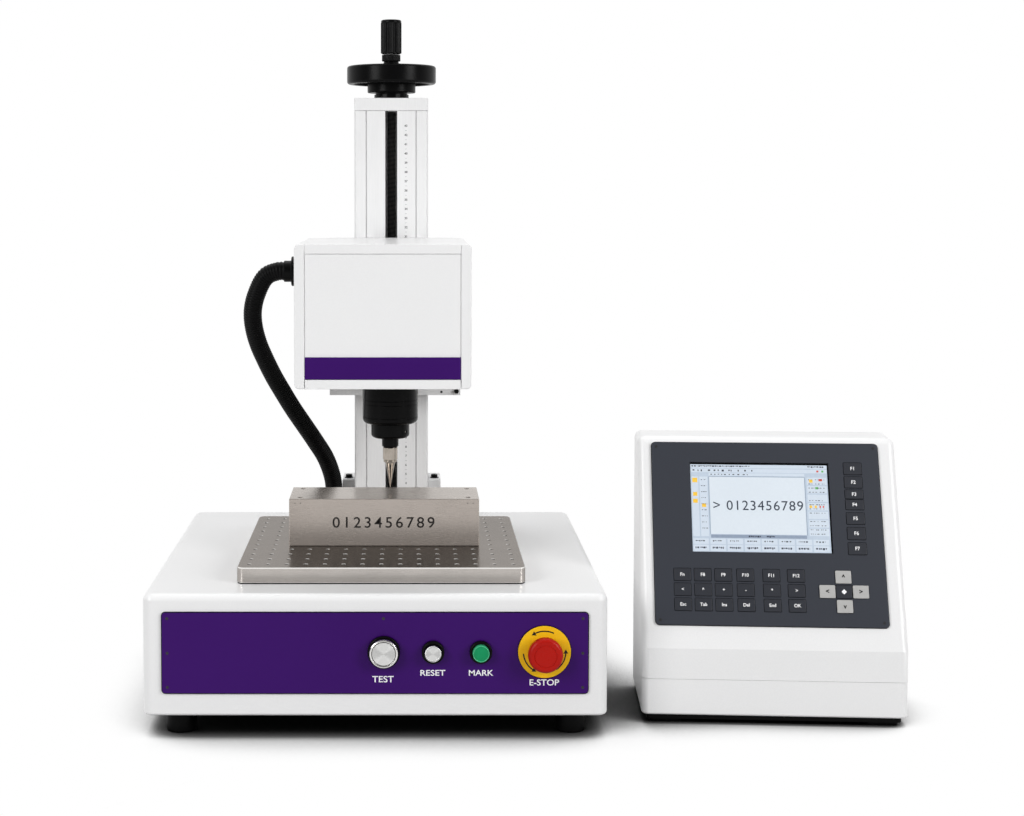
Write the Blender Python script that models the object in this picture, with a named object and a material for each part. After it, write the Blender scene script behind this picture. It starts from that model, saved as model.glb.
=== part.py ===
"""Benchtop nameplate marking machine with its desk controller.

A white housing carries a drilled work plate and a column. A handwheel on top of the
column turns a lead screw, which lifts the marking head. Inside the head a cross slide
moves the stylus over the block to be marked. The controller stands beside the machine.

Metres, +Z up, the front faces -Y. The origin is on the floor, under the middle of the
footprint that the machine and its controller take together.
"""
import math

import bmesh
import bpy
from mathutils import Matrix, Vector
from mathutils.geometry import interpolate_bezier

# Fits shared by every piece
CLEARANCE = 0.0003
RUNNING_GAP = 0.0006
BOOLEAN_REACH = 0.002
MERGE_DISTANCE = 0.00001
SMOOTH_LIMIT = math.radians(35)
SAME_PLACE = 0.00001
LARGE_SIDES = 32
MEDIUM_SIDES = 24
SMALL_SIDES = 16

# Base housing and feet
BASE_WIDTH = 0.430
BASE_DEPTH = 0.400
BASE_UNDERSIDE = 0.022
BASE_TOP = 0.1355
BASE_WALL = 0.005
BASE_CORNER_RADIUS = 0.010
BASE_TOP_RADIUS = 0.007
BASE_LOWER_RADIUS = 0.003
FLOOR_PLATE_THICKNESS = 0.002
FOOT_RADIUS = 0.014
FOOT_INSET = 0.032
FOOT_CHAMFER = 0.0015

# Front panel with its push buttons
PANEL_WIDTH = 0.3925
PANEL_HEIGHT = 0.075
PANEL_THICKNESS = 0.002
PANEL_CENTRE_Z = 0.0815
PANEL_CORNER_RADIUS = 0.003
BUTTON_ROW_Z = 0.083
TEST_X = 0.0081
RESET_X = 0.0534
MARK_X = 0.0974
ESTOP_X = 0.156
BEZEL_HEIGHT = 0.0045
BEZEL_LIP = 0.001
BEZEL_RECESS = 0.004
CAP_CHAMFER = 0.001
CAP_GROOVE = 0.0006
BUTTON_STROKE = 0.0025
BUTTON_SHANK_LENGTH = 0.026
BUTTON_HEAD_HEIGHT = 0.0055
TEST_BEZEL_RADIUS = 0.015
TEST_CAP_RADIUS = 0.0133
TEST_FACE_RADIUS = 0.0107
TEST_SHANK_RADIUS = 0.011
SMALL_BEZEL_RADIUS = 0.0105
SMALL_CAP_RADIUS = 0.0077
SMALL_SHANK_RADIUS = 0.0078
STEM_SHARE = 0.55

# Emergency stop
LEGEND_RADIUS = 0.02425
LEGEND_THICKNESS = 0.0015
LEGEND_CHAMFER = 0.0005
ESTOP_COLLAR_RADIUS = 0.0135
ESTOP_COLLAR_HEIGHT = 0.002
ESTOP_SHANK_RADIUS = 0.011
ESTOP_HEAD_RADIUS = 0.016
ESTOP_DIMPLE_RADIUS = 0.010
ESTOP_GROOVE = 0.0006
ESTOP_CROWN = 0.004
ESTOP_RIM_CHAMFER = 0.001
ESTOP_HEAD_HEIGHT = 0.009
ESTOP_STROKE = 0.004
ESTOP_STEM_RADIUS = 0.006

# Work plate with its grid of tapped holes
PLATE_X = 0.005
PLATE_FRONT_Y = 0.041
PLATE_WIDTH = 0.273
PLATE_DEPTH = 0.251
PLATE_THICKNESS = 0.015
PLATE_CORNER = 0.007
PLATE_EDGE = 0.0008
PLATE_SHADOW_GAP = 0.0003
HOLE_COLUMNS = 15
HOLE_ROWS = 11
HOLE_PITCH_X = 0.018
HOLE_PITCH_Y = 0.022
HOLE_RADIUS = 0.0013
HOLE_DEPTH = 0.009
HOLE_SIDES = 4

# Block that is being marked
BLOCK_X = 0.0066
BLOCK_FRONT_Y = 0.137
BLOCK_WIDTH = 0.190
BLOCK_DEPTH = 0.0665
BLOCK_HEIGHT = 0.0473
BLOCK_EDGE = 0.0006
BLOCK_HOLE_INSET_X = 0.011
BLOCK_HOLE_INSET_Y = 0.009
BLOCK_HOLE_RADIUS = 0.002
BLOCK_HOLE_DEPTH = 0.010

# Column, cap and side brackets
COLUMN_X = 0.0123
COLUMN_FRONT_Y = 0.300
COLUMN_WIDTH = 0.080
COLUMN_DEPTH = 0.078
COLUMN_TOP = 0.592
COLUMN_EDGE = 0.0015
SLOT_WIDTH = 0.013
SLOT_LIP = 0.008
CHAMBER_WIDTH = 0.034
CHAMBER_DEPTH = 0.058
SEAM_OFFSET = 0.027
SEAM_WIDTH = 0.0012
SEAM_DEPTH = 0.0015
CAP_HEIGHT = 0.0137
BRACKET_WIDTH = 0.014
BRACKET_HEIGHT = 0.0515
BRACKET_DEPTH = 0.042
BRACKET_SETBACK = 0.018
BRACKET_EDGE = 0.002

# Lead screw, bearings and nut
SCREW_RADIUS = 0.0045
SCREW_SETBACK = 0.039
SCREW_END_DEPTH = 0.012
BEARING_BOTTOM_RADIUS = 0.014
BEARING_BOTTOM_HEIGHT = 0.015
BEARING_FLOOR = 0.005
BEARING_TOP_RADIUS = 0.019
BEARING_TOP_HEIGHT = 0.005
NUT_WIDTH = 0.026
NUT_HALF_DEPTH = 0.013
NUT_HEIGHT = 0.030
NUT_ABOVE_HEAD_FLOOR = 0.045
TONGUE_WIDTH = 0.011

# Handwheel and grip
WHEEL_RADIUS = 0.049
WHEEL_RIM_HEIGHT = 0.020
WHEEL_RIM_WALL = 0.007
WHEEL_WEB = 0.012
WHEEL_EDGE = 0.003
HUB_RADIUS = 0.0265
HUB_CHAMFER = 0.001
HUB_DROP = 0.011
HUB_BOSS_RADIUS = 0.012
WHEEL_DISH = 0.002
GRIP_OFFSET = 0.035
GRIP_NECK_RADIUS = 0.0085
GRIP_NECK_HEIGHT = 0.003
GRIP_COLLAR_RADIUS = 0.0102
GRIP_COLLAR_HEIGHT = 0.007
GRIP_COLLAR_CHAMFER = 0.0015
GRIP_SPINDLE_RADIUS = 0.004
GRIP_RADIUS = 0.01145
GRIP_FLUTE_DEPTH = 0.0009
GRIP_FLUTES = 20
GRIP_LENGTH = 0.037
GRIP_TOP_WALL = 0.006
GRIP_EDGE = 0.0015

# Marking head box
HEAD_X = 0.0062
HEAD_FRONT_Y = 0.082
HEAD_DEPTH = 0.191
HEAD_WIDTH = 0.1707
HEAD_BOTTOM = 0.3155
HEAD_TOP = 0.455
CHEEK_THICKNESS = 0.010
HEAD_PLATE_THICKNESS = 0.009
HEAD_PANEL_THICKNESS = 0.003
HEAD_BACK_THICKNESS = 0.008
HEAD_CORNER_RADIUS = 0.004
BAND_HEIGHT = 0.0215
BAND_THICKNESS = 0.001

# Lift carriage between head and column
CARRIAGE_WIDTH = 0.132
CARRIAGE_BOTTOM = 0.286
CARRIAGE_THICKNESS = 0.0125
RUNNER_OFFSET = 0.027
RUNNER_WIDTH = 0.014
CLAMP_BLOCK = 0.0086
CLAMP_HOLE_RADIUS = 0.0022

# Cross slide inside the head
STYLUS_Y = 0.181
X_TRAVEL = 0.025
Y_TRAVEL = 0.015
WINDOW_MARGIN = 0.002
ROD_RADIUS = 0.005
ROD_SPACING = 0.090
ROD_HEIGHT = 0.381
X_SLIDE_WIDTH = 0.064
X_SLIDE_LENGTH = 0.140
X_SLIDE_THICKNESS = 0.022
RAIL_WIDTH = 0.0168
RAIL_HEIGHT = 0.0144
RAIL_LENGTH = 0.094
Y_SLIDE_WIDTH = 0.056
Y_SLIDE_LENGTH = 0.064
Y_SLIDE_FLOOR = 0.010
Y_SLIDE_ARM = 0.011
DRIVE_NUT_WIDTH = 0.014
DRIVE_NUT_DEPTH = 0.020
DRIVE_NUT_OFFSET = 0.016
DRIVE_SCREW_RADIUS = 0.003
DRIVE_SCREW_RISE = 0.036
DRIVE_NUT_WALL = 0.007
MOTOR_SIZE = 0.042
MOTOR_LENGTH = 0.038
MOTOR_CHAMFER = 0.005

# Stylus
TIP_GAP = 0.0035
CONE_LENGTH = 0.0265
CONE_RADIUS = 0.00575
TIP_RADIUS = 0.0003
PIN_SHAFT_RADIUS = 0.003
COLLET_RADIUS = 0.0076
COLLET_HEIGHT = 0.0154
COLLET_CHAMFER = 0.001
NECK_RADIUS = 0.0085
NECK_HEIGHT = 0.0097
SHOULDER_RADIUS = 0.0196
SHOULDER_HEIGHT = 0.015
SHOULDER_ROUND = 0.004
BARREL_RADIUS = 0.0283
BARREL_ROUND = 0.005

# Corrugated hose from head to base
HOSE_RADIUS = 0.00945
HOSE_RIB_DEPTH = 0.0009
HOSE_RIB_PITCH = 0.0036
HOSE_BORE_RADIUS = 0.0064
HOSE_STRAIGHT = 0.019
HOSE_EXIT_Y = 0.165
HOSE_EXIT_Z = 0.425
HOSE_FOOT_X = -0.051
HOSE_FOOT_Y = 0.307
HOSE_FLANGE_RADIUS = 0.015
HOSE_FLANGE_HEIGHT = 0.002
HOSE_SLEEVE_WALL = 0.001
HOSE_SLEEVE_HEIGHT = 0.013
BASE_GLAND_RADIUS = 0.0135
BASE_GLAND_HEIGHT = 0.012
BASE_GLAND_CHAMFER = 0.003
HOSE_ROUTE = (
    (-0.1133, 0.1675, 0.4193),
    (-0.1232, 0.172, 0.4009),
    (-0.1274, 0.178, 0.3839),
    (-0.1270, 0.186, 0.3665),
    (-0.1233, 0.195, 0.3489),
    (-0.1170, 0.205, 0.3312),
    (-0.1095, 0.216, 0.3130),
    (-0.1006, 0.228, 0.2946),
    (-0.0910, 0.240, 0.2759),
    (-0.0802, 0.253, 0.2569),
    (-0.0693, 0.266, 0.2377),
    (-0.0591, 0.280, 0.2179),
    (-0.0530, 0.293, 0.1984),
    (-0.0508, 0.302, 0.1828),
)

# Socket panel at the rear
SOCKET_PANEL_WIDTH = 0.110
SOCKET_PANEL_HEIGHT = 0.044
SOCKET_PANEL_THICKNESS = 0.002
SOCKET_PANEL_X = 0.110
INLET_WIDTH = 0.028
INLET_HEIGHT = 0.021
INLET_PROUD = 0.005
INLET_DEPTH = 0.006
INLET_WALL = 0.002
CONNECTOR_RADIUS = 0.010
CONNECTOR_WALL = 0.002

# Controller beside the machine
CONSOLE_GAP = 0.0378
CONSOLE_FRONT_Y = 0.0464
CONSOLE_TURN = math.radians(-3.5)
CONSOLE_WIDTH = 0.250
CONSOLE_DEPTH = 0.125
CONSOLE_UNDERSIDE = 0.009
CONSOLE_SEAM = 0.0436
CONSOLE_CREASE = 0.073
CONSOLE_SLOPE = math.radians(22)
CONSOLE_SLOPE_LENGTH = 0.206
CONSOLE_WALL = 0.003
CONSOLE_RADIUS = 0.007
CONSOLE_FOOT_WIDTH = 0.030
CONSOLE_FOOT_INSET = 0.008

# Keypad panel and screen on the controller's slope
KEYPAD_WIDTH = 0.2194
KEYPAD_HEIGHT = 0.1776
KEYPAD_OFFSET_X = -0.0022
KEYPAD_START = 0.022
KEYPAD_THICKNESS = 0.002
KEYPAD_RADIUS = 0.004
SCREEN_WIDTH = 0.134
SCREEN_HEIGHT = 0.088
SCREEN_OFFSET_X = -0.008
SCREEN_CENTRE = 0.1358
SCREEN_DEPTH = 0.006
SCREEN_RECESS = 0.0008
KEY_HEIGHT = 0.0118
KEY_WIDTH = 0.0159
KEY_PROUD = 0.0006
KEY_EDGE = 0.0004
KEY_COLUMNS = (-0.0854, -0.0660, -0.0465, -0.0256, -0.0009, 0.0224)
KEY_ROWS = 3
KEY_ROW_PITCH = 0.0142
KEY_FIRST_ROW = 0.0414
SIDE_KEY_WIDTH = 0.0172
SIDE_KEY_X = 0.082
SIDE_KEY_ROWS = ((0.0966, 0.0114), (0.1113, 0.0118), (0.1257, 0.0112), (0.1392, 0.0096),
                 (0.1494, 0.0086), (0.1612, 0.0110), (0.1746, 0.0116))
ARROW_CENTRE_X = 0.0669
ARROW_CENTRE = 0.0553
ARROW_PITCH_X = 0.0157
ARROW_PITCH = 0.0139
ARROW_WIDTH = 0.0148
ARROW_HEIGHT = 0.0122
ARROW_PROUD = 0.0012
ARROW_STROKE = 0.0008

# Levels and stations that follow from the sizes above
PANEL_FACE_Y = -CLEARANCE - PANEL_THICKNESS
PLATE_UNDERSIDE = BASE_TOP + CLEARANCE + PLATE_SHADOW_GAP
PLATE_TOP = PLATE_UNDERSIDE + PLATE_THICKNESS
BLOCK_UNDERSIDE = PLATE_TOP + CLEARANCE
BLOCK_TOP = BLOCK_UNDERSIDE + BLOCK_HEIGHT
COLUMN_BOTTOM = BASE_TOP + CLEARANCE
CAP_BOTTOM = COLUMN_TOP + CLEARANCE
CAP_TOP = CAP_BOTTOM + CAP_HEIGHT
SCREW_Y = COLUMN_FRONT_Y + SCREW_SETBACK
WHEEL_BOTTOM = CAP_TOP + BEARING_TOP_HEIGHT + 2 * CLEARANCE
HEAD_BACK_Y = HEAD_FRONT_Y + HEAD_DEPTH
HEAD_INNER_HALF = HEAD_WIDTH / 2 - CHEEK_THICKNESS - CLEARANCE
HEAD_FLOOR = HEAD_BOTTOM + HEAD_PLATE_THICKNESS
HEAD_CEILING = HEAD_TOP - HEAD_PLATE_THICKNESS
STYLUS_X = COLUMN_X
RAIL_TOP = ROD_HEIGHT - X_SLIDE_THICKNESS / 2
RAIL_BOTTOM = RAIL_TOP - RAIL_HEIGHT
BARREL_TOP = RAIL_BOTTOM - 2 * CLEARANCE - Y_SLIDE_FLOOR
DRIVE_SCREW_Z = ROD_HEIGHT + DRIVE_SCREW_RISE

# Turns that point a piece's own +Z to one side
TOWARDS_FRONT = (math.radians(90), 0, 0)
TOWARDS_REAR = (math.radians(-90), 0, 0)
TOWARDS_LEFT = (0, math.radians(-90), 0)
TOWARDS_RIGHT = (0, math.radians(90), 0)

# Colour, roughness and metallic value of each finish
FINISHES = {
    "white_paint": ((0.86, 0.86, 0.87), 0.35, 0.0),
    "white_aluminium": ((0.80, 0.80, 0.81), 0.40, 0.2),
    "purple": ((0.047, 0.006, 0.150), 0.35, 0.0),
    "steel": ((0.42, 0.40, 0.37), 0.35, 1.0),
    "bright_metal": ((0.75, 0.74, 0.71), 0.22, 1.0),
    "nickel": ((0.62, 0.58, 0.52), 0.25, 1.0),
    "black_plastic": ((0.012, 0.012, 0.013), 0.40, 0.0),
    "black_metal": ((0.010, 0.010, 0.011), 0.30, 0.3),
    "rubber": ((0.010, 0.010, 0.010), 0.80, 0.0),
    "dark_screw": ((0.055, 0.055, 0.058), 0.45, 0.6),
    "brass": ((0.60, 0.42, 0.16), 0.35, 1.0),
    "red": ((0.55, 0.012, 0.008), 0.35, 0.0),
    "yellow": ((0.90, 0.50, 0.010), 0.45, 0.0),
    "green": ((0.000, 0.270, 0.090), 0.30, 0.0),
    "keypad": ((0.034, 0.037, 0.050), 0.50, 0.0),
    "arrow_key": ((0.36, 0.34, 0.32), 0.50, 0.0),
    "screen": ((0.74, 0.80, 0.87), 0.20, 0.0),
}


def paint(solid, finish):
    """Give the solid a material of its own."""
    colour, roughness, metallic = FINISHES[finish]
    material = bpy.data.materials.new(f"{solid.name}_{finish}")
    material.use_nodes = True
    shader = material.node_tree.nodes["Principled BSDF"]
    shader.inputs["Base Color"].default_value = (*colour, 1.0)
    shader.inputs["Roughness"].default_value = roughness
    shader.inputs["Metallic"].default_value = metallic
    solid.data.materials.append(material)


def make_solid(name, bm, finish, parent, place=(0, 0, 0), turn=(0, 0, 0)):
    """Turn finished mesh data into a named object."""
    bmesh.ops.recalc_face_normals(bm, faces=bm.faces[:])
    mesh = bpy.data.meshes.new(name)
    bm.to_mesh(mesh)
    bm.free()
    mesh.shade_smooth()
    mesh.set_sharp_from_angle(angle=SMOOTH_LIMIT)
    solid = bpy.data.objects.new(name, mesh)
    bpy.context.scene.collection.objects.link(solid)
    solid.parent = parent
    solid.location = place
    solid.rotation_euler = turn
    if finish:
        paint(solid, finish)
    return solid


def make_empty(name, parent, place=(0, 0, 0), turn=(0, 0, 0)):
    """Add an empty that carries other pieces."""
    empty = bpy.data.objects.new(name, None)
    bpy.context.scene.collection.objects.link(empty)
    empty.parent = parent
    empty.location = place
    empty.rotation_euler = turn
    return empty


def combine(target, tool, operation="DIFFERENCE"):
    """Cut or join a hidden tool into the target."""
    tool.hide_render = True
    tool.display_type = "WIRE"
    change = target.modifiers.new(tool.name, "BOOLEAN")
    change.operation = operation
    change.object = tool


def box(size, centre=(0, 0, 0)):
    """A box of the given size."""
    bm = bmesh.new()
    place = Matrix.Translation(centre) @ Matrix.Diagonal((*size, 1))
    bmesh.ops.create_cube(bm, size=1, matrix=place)
    return bm


def round_edges(bm, chosen, radius, segments):
    """Round the edges that the test picks."""
    edges = [edge for edge in bm.edges if chosen(*[vert.co for vert in edge.verts])]
    bmesh.ops.bevel(bm, geom=edges, offset=radius, segments=segments, profile=0.5,
                    affect="EDGES", clamp_overlap=True)
    return bm


def same(a, b):
    """True where two measures agree."""
    return abs(a - b) < SAME_PLACE


def upright(start, end):
    """True for an edge that runs along Z."""
    return same(start.x, end.x) and same(start.y, end.y)


def level_at(height):
    """A test for edges that lie at one height."""
    return lambda start, end: same(start.z, height) and same(end.z, height)


def prism(outline, low, high, along):
    """Extrude a flat outline between two stations along X, Y or Z."""
    corners = {
        "X": lambda a, b: (low, a, b),
        "Y": lambda a, b: (a, low, b),
        "Z": lambda a, b: (a, b, low),
    }[along]
    step = Vector([(high - low) * (along == axis) for axis in "XYZ"])
    bm = bmesh.new()
    face = bm.faces.new([bm.verts.new(corners(a, b)) for a, b in outline])
    grown = bmesh.ops.extrude_face_region(bm, geom=[face])["geom"]
    moved = [part for part in grown if isinstance(part, bmesh.types.BMVert)]
    bmesh.ops.translate(bm, vec=step, verts=moved)
    return bm


def turned(profile, sides):
    """Revolve an outline of (radius, height) points about Z."""
    bm = bmesh.new()
    corners = [bm.verts.new((radius, 0, height)) for radius, height in profile]
    pairs = list(zip(corners, corners[1:]))
    if profile[0][0] > 0:
        pairs.append((corners[-1], corners[0]))
    edges = [bm.edges.new(pair) for pair in pairs]
    bmesh.ops.spin(bm, geom=corners + edges, cent=(0, 0, 0), axis=(0, 0, 1),
                   angle=math.tau, steps=sides, use_merge=True)
    bmesh.ops.remove_doubles(bm, verts=bm.verts[:], dist=MERGE_DISTANCE)
    return bm


def rod(radius, low, high, sides):
    """A plain round bar along Z."""
    return turned([(0, low), (radius, low), (radius, high), (0, high)], sides)


def fillet(centre_radius, centre_height, radius, start, end, steps=2):
    """Points of a round stretch of a turned outline, from one angle to another."""
    angles = [start + (end - start) * step / steps for step in range(steps + 1)]
    return [(centre_radius + radius * math.cos(angle),
             centre_height + radius * math.sin(angle)) for angle in angles]


def inset_outline(outline, wall):
    """Move each side of a convex outline inwards by the wall."""
    middle = sum((Vector(point) for point in outline), Vector((0, 0))) / len(outline)
    sides = []
    for start, end in zip(outline, outline[1:] + outline[:1]):
        along = (Vector(end) - Vector(start)).normalized()
        inwards = Vector((-along.y, along.x))
        if inwards.dot(middle - Vector(start)) < 0:
            inwards = -inwards
        sides.append((Vector(start) + inwards * wall, along))
    inset = []
    for (before, way_in), (after, way_out) in zip([sides[-1]] + sides[:-1], sides):
        gap = after - before
        reach = gap.cross(way_out) / way_in.cross(way_out)
        inset.append(tuple(before + way_in * reach))
    return inset


def make_base(machine):
    """White housing, floor plate and four rubber feet."""
    height = BASE_TOP - BASE_UNDERSIDE
    middle = (0, BASE_DEPTH / 2, (BASE_TOP + BASE_UNDERSIDE) / 2)
    shell = box((BASE_WIDTH, BASE_DEPTH, height))
    round_edges(shell, upright, BASE_CORNER_RADIUS, 4)
    round_edges(shell, level_at(height / 2), BASE_TOP_RADIUS, 4)
    round_edges(shell, level_at(-height / 2), BASE_LOWER_RADIUS, 2)
    housing = make_solid("base_housing", shell, "white_paint", machine, middle)
    inner_width = BASE_WIDTH - 2 * BASE_WALL
    inner_depth = BASE_DEPTH - 2 * BASE_WALL
    hollow_height = height - BASE_WALL + BOOLEAN_REACH
    hollow = box((inner_width, inner_depth, hollow_height))
    hollow_middle = (0, BASE_DEPTH / 2, BASE_TOP - BASE_WALL - hollow_height / 2)
    combine(housing, make_solid("base_hollow", hollow, None, machine, hollow_middle))

    plate = box((inner_width - 2 * CLEARANCE, inner_depth - 2 * CLEARANCE, FLOOR_PLATE_THICKNESS))
    plate_middle = (0, BASE_DEPTH / 2, BASE_UNDERSIDE + FLOOR_PLATE_THICKNESS / 2)
    make_solid("base_floor_plate", plate, "black_metal", machine, plate_middle)

    for depth_name, y in (("front", FOOT_INSET), ("rear", BASE_DEPTH - FOOT_INSET)):
        for side_name, side in (("left", -1), ("right", 1)):
            top = BASE_UNDERSIDE - CLEARANCE
            foot = turned([(0, 0), (FOOT_RADIUS - FOOT_CHAMFER, 0), (FOOT_RADIUS, FOOT_CHAMFER),
                           (FOOT_RADIUS, top), (0, top)], SMALL_SIDES)
            place = (side * (BASE_WIDTH / 2 - FOOT_INSET), y, 0)
            make_solid(f"base_foot_{depth_name}_{side_name}", foot, "rubber", machine, place)
    return housing


def make_push_button(machine, name, x, bezel_radius, cap_radius, shank_radius, cap_profile,
                     cap_finish):
    """A bezel through the panel and the cap that slides in it."""
    recess_floor = BEZEL_HEIGHT - BEZEL_RECESS
    stem_radius = shank_radius * STEM_SHARE
    bore_radius = stem_radius + CLEARANCE
    recess_radius = cap_radius + CLEARANCE
    bezel = turned([
        (bore_radius, -BUTTON_SHANK_LENGTH), (shank_radius, -BUTTON_SHANK_LENGTH),
        (shank_radius, 0), (bezel_radius, 0), (bezel_radius, BEZEL_HEIGHT - BEZEL_LIP),
        (bezel_radius - BEZEL_LIP / 2, BEZEL_HEIGHT), (recess_radius, BEZEL_HEIGHT),
        (recess_radius, recess_floor), (bore_radius, recess_floor)], MEDIUM_SIDES)
    place = (x, PANEL_FACE_Y - CLEARANCE, BUTTON_ROW_Z)
    make_solid(f"{name}_bezel", bezel, "black_plastic", machine, place, TOWARDS_FRONT)
    back = recess_floor + BUTTON_STROKE + CLEARANCE
    stem_end = BUTTON_STROKE + CLEARANCE - BUTTON_SHANK_LENGTH
    cap = turned([(0, stem_end), (stem_radius, stem_end), (stem_radius, back),
                  (cap_radius, back)] + cap_profile(back + BUTTON_HEAD_HEIGHT), MEDIUM_SIDES)
    make_solid(f"{name}_cap", cap, cap_finish, machine, place, TOWARDS_FRONT)


def test_cap_face(front):
    """Metal rim, groove and machined face of the large button."""
    return [(TEST_CAP_RADIUS, front - CAP_CHAMFER), (TEST_CAP_RADIUS - CAP_CHAMFER, front),
            (TEST_FACE_RADIUS + CAP_GROOVE, front), (TEST_FACE_RADIUS, front - CAP_GROOVE),
            (TEST_FACE_RADIUS - CAP_GROOVE, front), (0, front)]


def small_cap_face(front):
    """Flat face of a small button."""
    return [(SMALL_CAP_RADIUS, front - CAP_CHAMFER), (SMALL_CAP_RADIUS - CAP_CHAMFER, front),
            (0, front)]


def make_front_panel(machine, housing):
    """Purple panel with three push buttons and the emergency stop."""
    panel = box((PANEL_WIDTH, PANEL_THICKNESS, PANEL_HEIGHT))
    round_edges(panel, lambda a, b: same(a.x, b.x) and same(a.z, b.z), PANEL_CORNER_RADIUS, 3)
    middle = (0, -CLEARANCE - PANEL_THICKNESS / 2, PANEL_CENTRE_Z)
    panel = make_solid("front_panel", panel, "purple", machine, middle)

    make_push_button(machine, "test", TEST_X, TEST_BEZEL_RADIUS, TEST_CAP_RADIUS,
                     TEST_SHANK_RADIUS, test_cap_face, "bright_metal")
    make_push_button(machine, "reset", RESET_X, SMALL_BEZEL_RADIUS, SMALL_CAP_RADIUS,
                     SMALL_SHANK_RADIUS, small_cap_face, "bright_metal")
    make_push_button(machine, "mark", MARK_X, SMALL_BEZEL_RADIUS, SMALL_CAP_RADIUS,
                     SMALL_SHANK_RADIUS, small_cap_face, "green")
    make_emergency_stop(machine)

    shanks = ((TEST_X, TEST_SHANK_RADIUS), (RESET_X, SMALL_SHANK_RADIUS),
              (MARK_X, SMALL_SHANK_RADIUS), (ESTOP_X, ESTOP_SHANK_RADIUS))
    for number, (x, radius) in enumerate(shanks, 1):
        reach = BASE_WALL + PANEL_THICKNESS + BOOLEAN_REACH
        hole = rod(radius + CLEARANCE, -reach, reach, MEDIUM_SIDES)
        drill = make_solid(f"button_hole_{number}", hole, None, machine,
                           (x, 0, BUTTON_ROW_Z), TOWARDS_FRONT)
        combine(panel, drill)
        combine(housing, drill)


def make_emergency_stop(machine):
    """Yellow ring, collar and red mushroom head."""
    place = (ESTOP_X, PANEL_FACE_Y - CLEARANCE, BUTTON_ROW_Z)
    hole = ESTOP_SHANK_RADIUS + CLEARANCE
    ring = turned([(hole, 0), (LEGEND_RADIUS, 0),
                   (LEGEND_RADIUS, LEGEND_THICKNESS - LEGEND_CHAMFER),
                   (LEGEND_RADIUS - LEGEND_CHAMFER, LEGEND_THICKNESS),
                   (hole, LEGEND_THICKNESS)], LARGE_SIDES)
    make_solid("estop_legend_ring", ring, "yellow", machine, place, TOWARDS_FRONT)

    seat = LEGEND_THICKNESS + CLEARANCE
    bore = ESTOP_STEM_RADIUS + CLEARANCE
    collar = turned([(bore, -BUTTON_SHANK_LENGTH), (ESTOP_SHANK_RADIUS, -BUTTON_SHANK_LENGTH),
                     (ESTOP_SHANK_RADIUS, seat), (ESTOP_COLLAR_RADIUS, seat),
                     (ESTOP_COLLAR_RADIUS, seat + ESTOP_COLLAR_HEIGHT),
                     (bore, seat + ESTOP_COLLAR_HEIGHT)], MEDIUM_SIDES)
    make_solid("estop_collar", collar, "red", machine, place, TOWARDS_FRONT)

    back = seat + ESTOP_COLLAR_HEIGHT + ESTOP_STROKE + CLEARANCE
    front = back + ESTOP_HEAD_HEIGHT
    stem_end = ESTOP_STROKE + CLEARANCE - BUTTON_SHANK_LENGTH
    profile = [(0, stem_end), (ESTOP_STEM_RADIUS, stem_end), (ESTOP_STEM_RADIUS, back),
               (ESTOP_HEAD_RADIUS - ESTOP_RIM_CHAMFER, back),
               (ESTOP_HEAD_RADIUS, back + ESTOP_RIM_CHAMFER)]
    profile += fillet(ESTOP_HEAD_RADIUS - ESTOP_CROWN, front - ESTOP_CROWN, ESTOP_CROWN,
                      0, math.radians(90), 3)
    profile += [(ESTOP_DIMPLE_RADIUS + ESTOP_GROOVE, front),
                (ESTOP_DIMPLE_RADIUS, front - ESTOP_GROOVE),
                (ESTOP_DIMPLE_RADIUS - ESTOP_GROOVE, front), (0, front)]
    make_solid("estop_knob", turned(profile, MEDIUM_SIDES), "red", machine, place, TOWARDS_FRONT)


def make_work_plate(machine):
    """Steel plate with a grid of tapped holes."""
    slab = box((PLATE_WIDTH, PLATE_DEPTH, PLATE_THICKNESS))
    round_edges(slab, upright, PLATE_CORNER, 3)
    round_edges(slab, level_at(PLATE_THICKNESS / 2), PLATE_EDGE, 1)
    middle_y = PLATE_FRONT_Y + PLATE_DEPTH / 2
    middle = (PLATE_X, middle_y, PLATE_UNDERSIDE + PLATE_THICKNESS / 2)
    plate = make_solid("work_plate", slab, "steel", machine, middle)

    drills = bmesh.new()
    length = HOLE_DEPTH + BOOLEAN_REACH
    for column in range(HOLE_COLUMNS):
        for row in range(HOLE_ROWS):
            x = (column - (HOLE_COLUMNS - 1) / 2) * HOLE_PITCH_X
            y = (row - (HOLE_ROWS - 1) / 2) * HOLE_PITCH_Y
            bmesh.ops.create_cone(drills, cap_ends=True, segments=HOLE_SIDES,
                                  radius1=HOLE_RADIUS, radius2=HOLE_RADIUS, depth=length,
                                  matrix=Matrix.Translation((x, y, 0)))
    depth = PLATE_TOP - HOLE_DEPTH + length / 2
    combine(plate, make_solid("plate_drills", drills, None, machine, (PLATE_X, middle_y, depth)))


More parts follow.
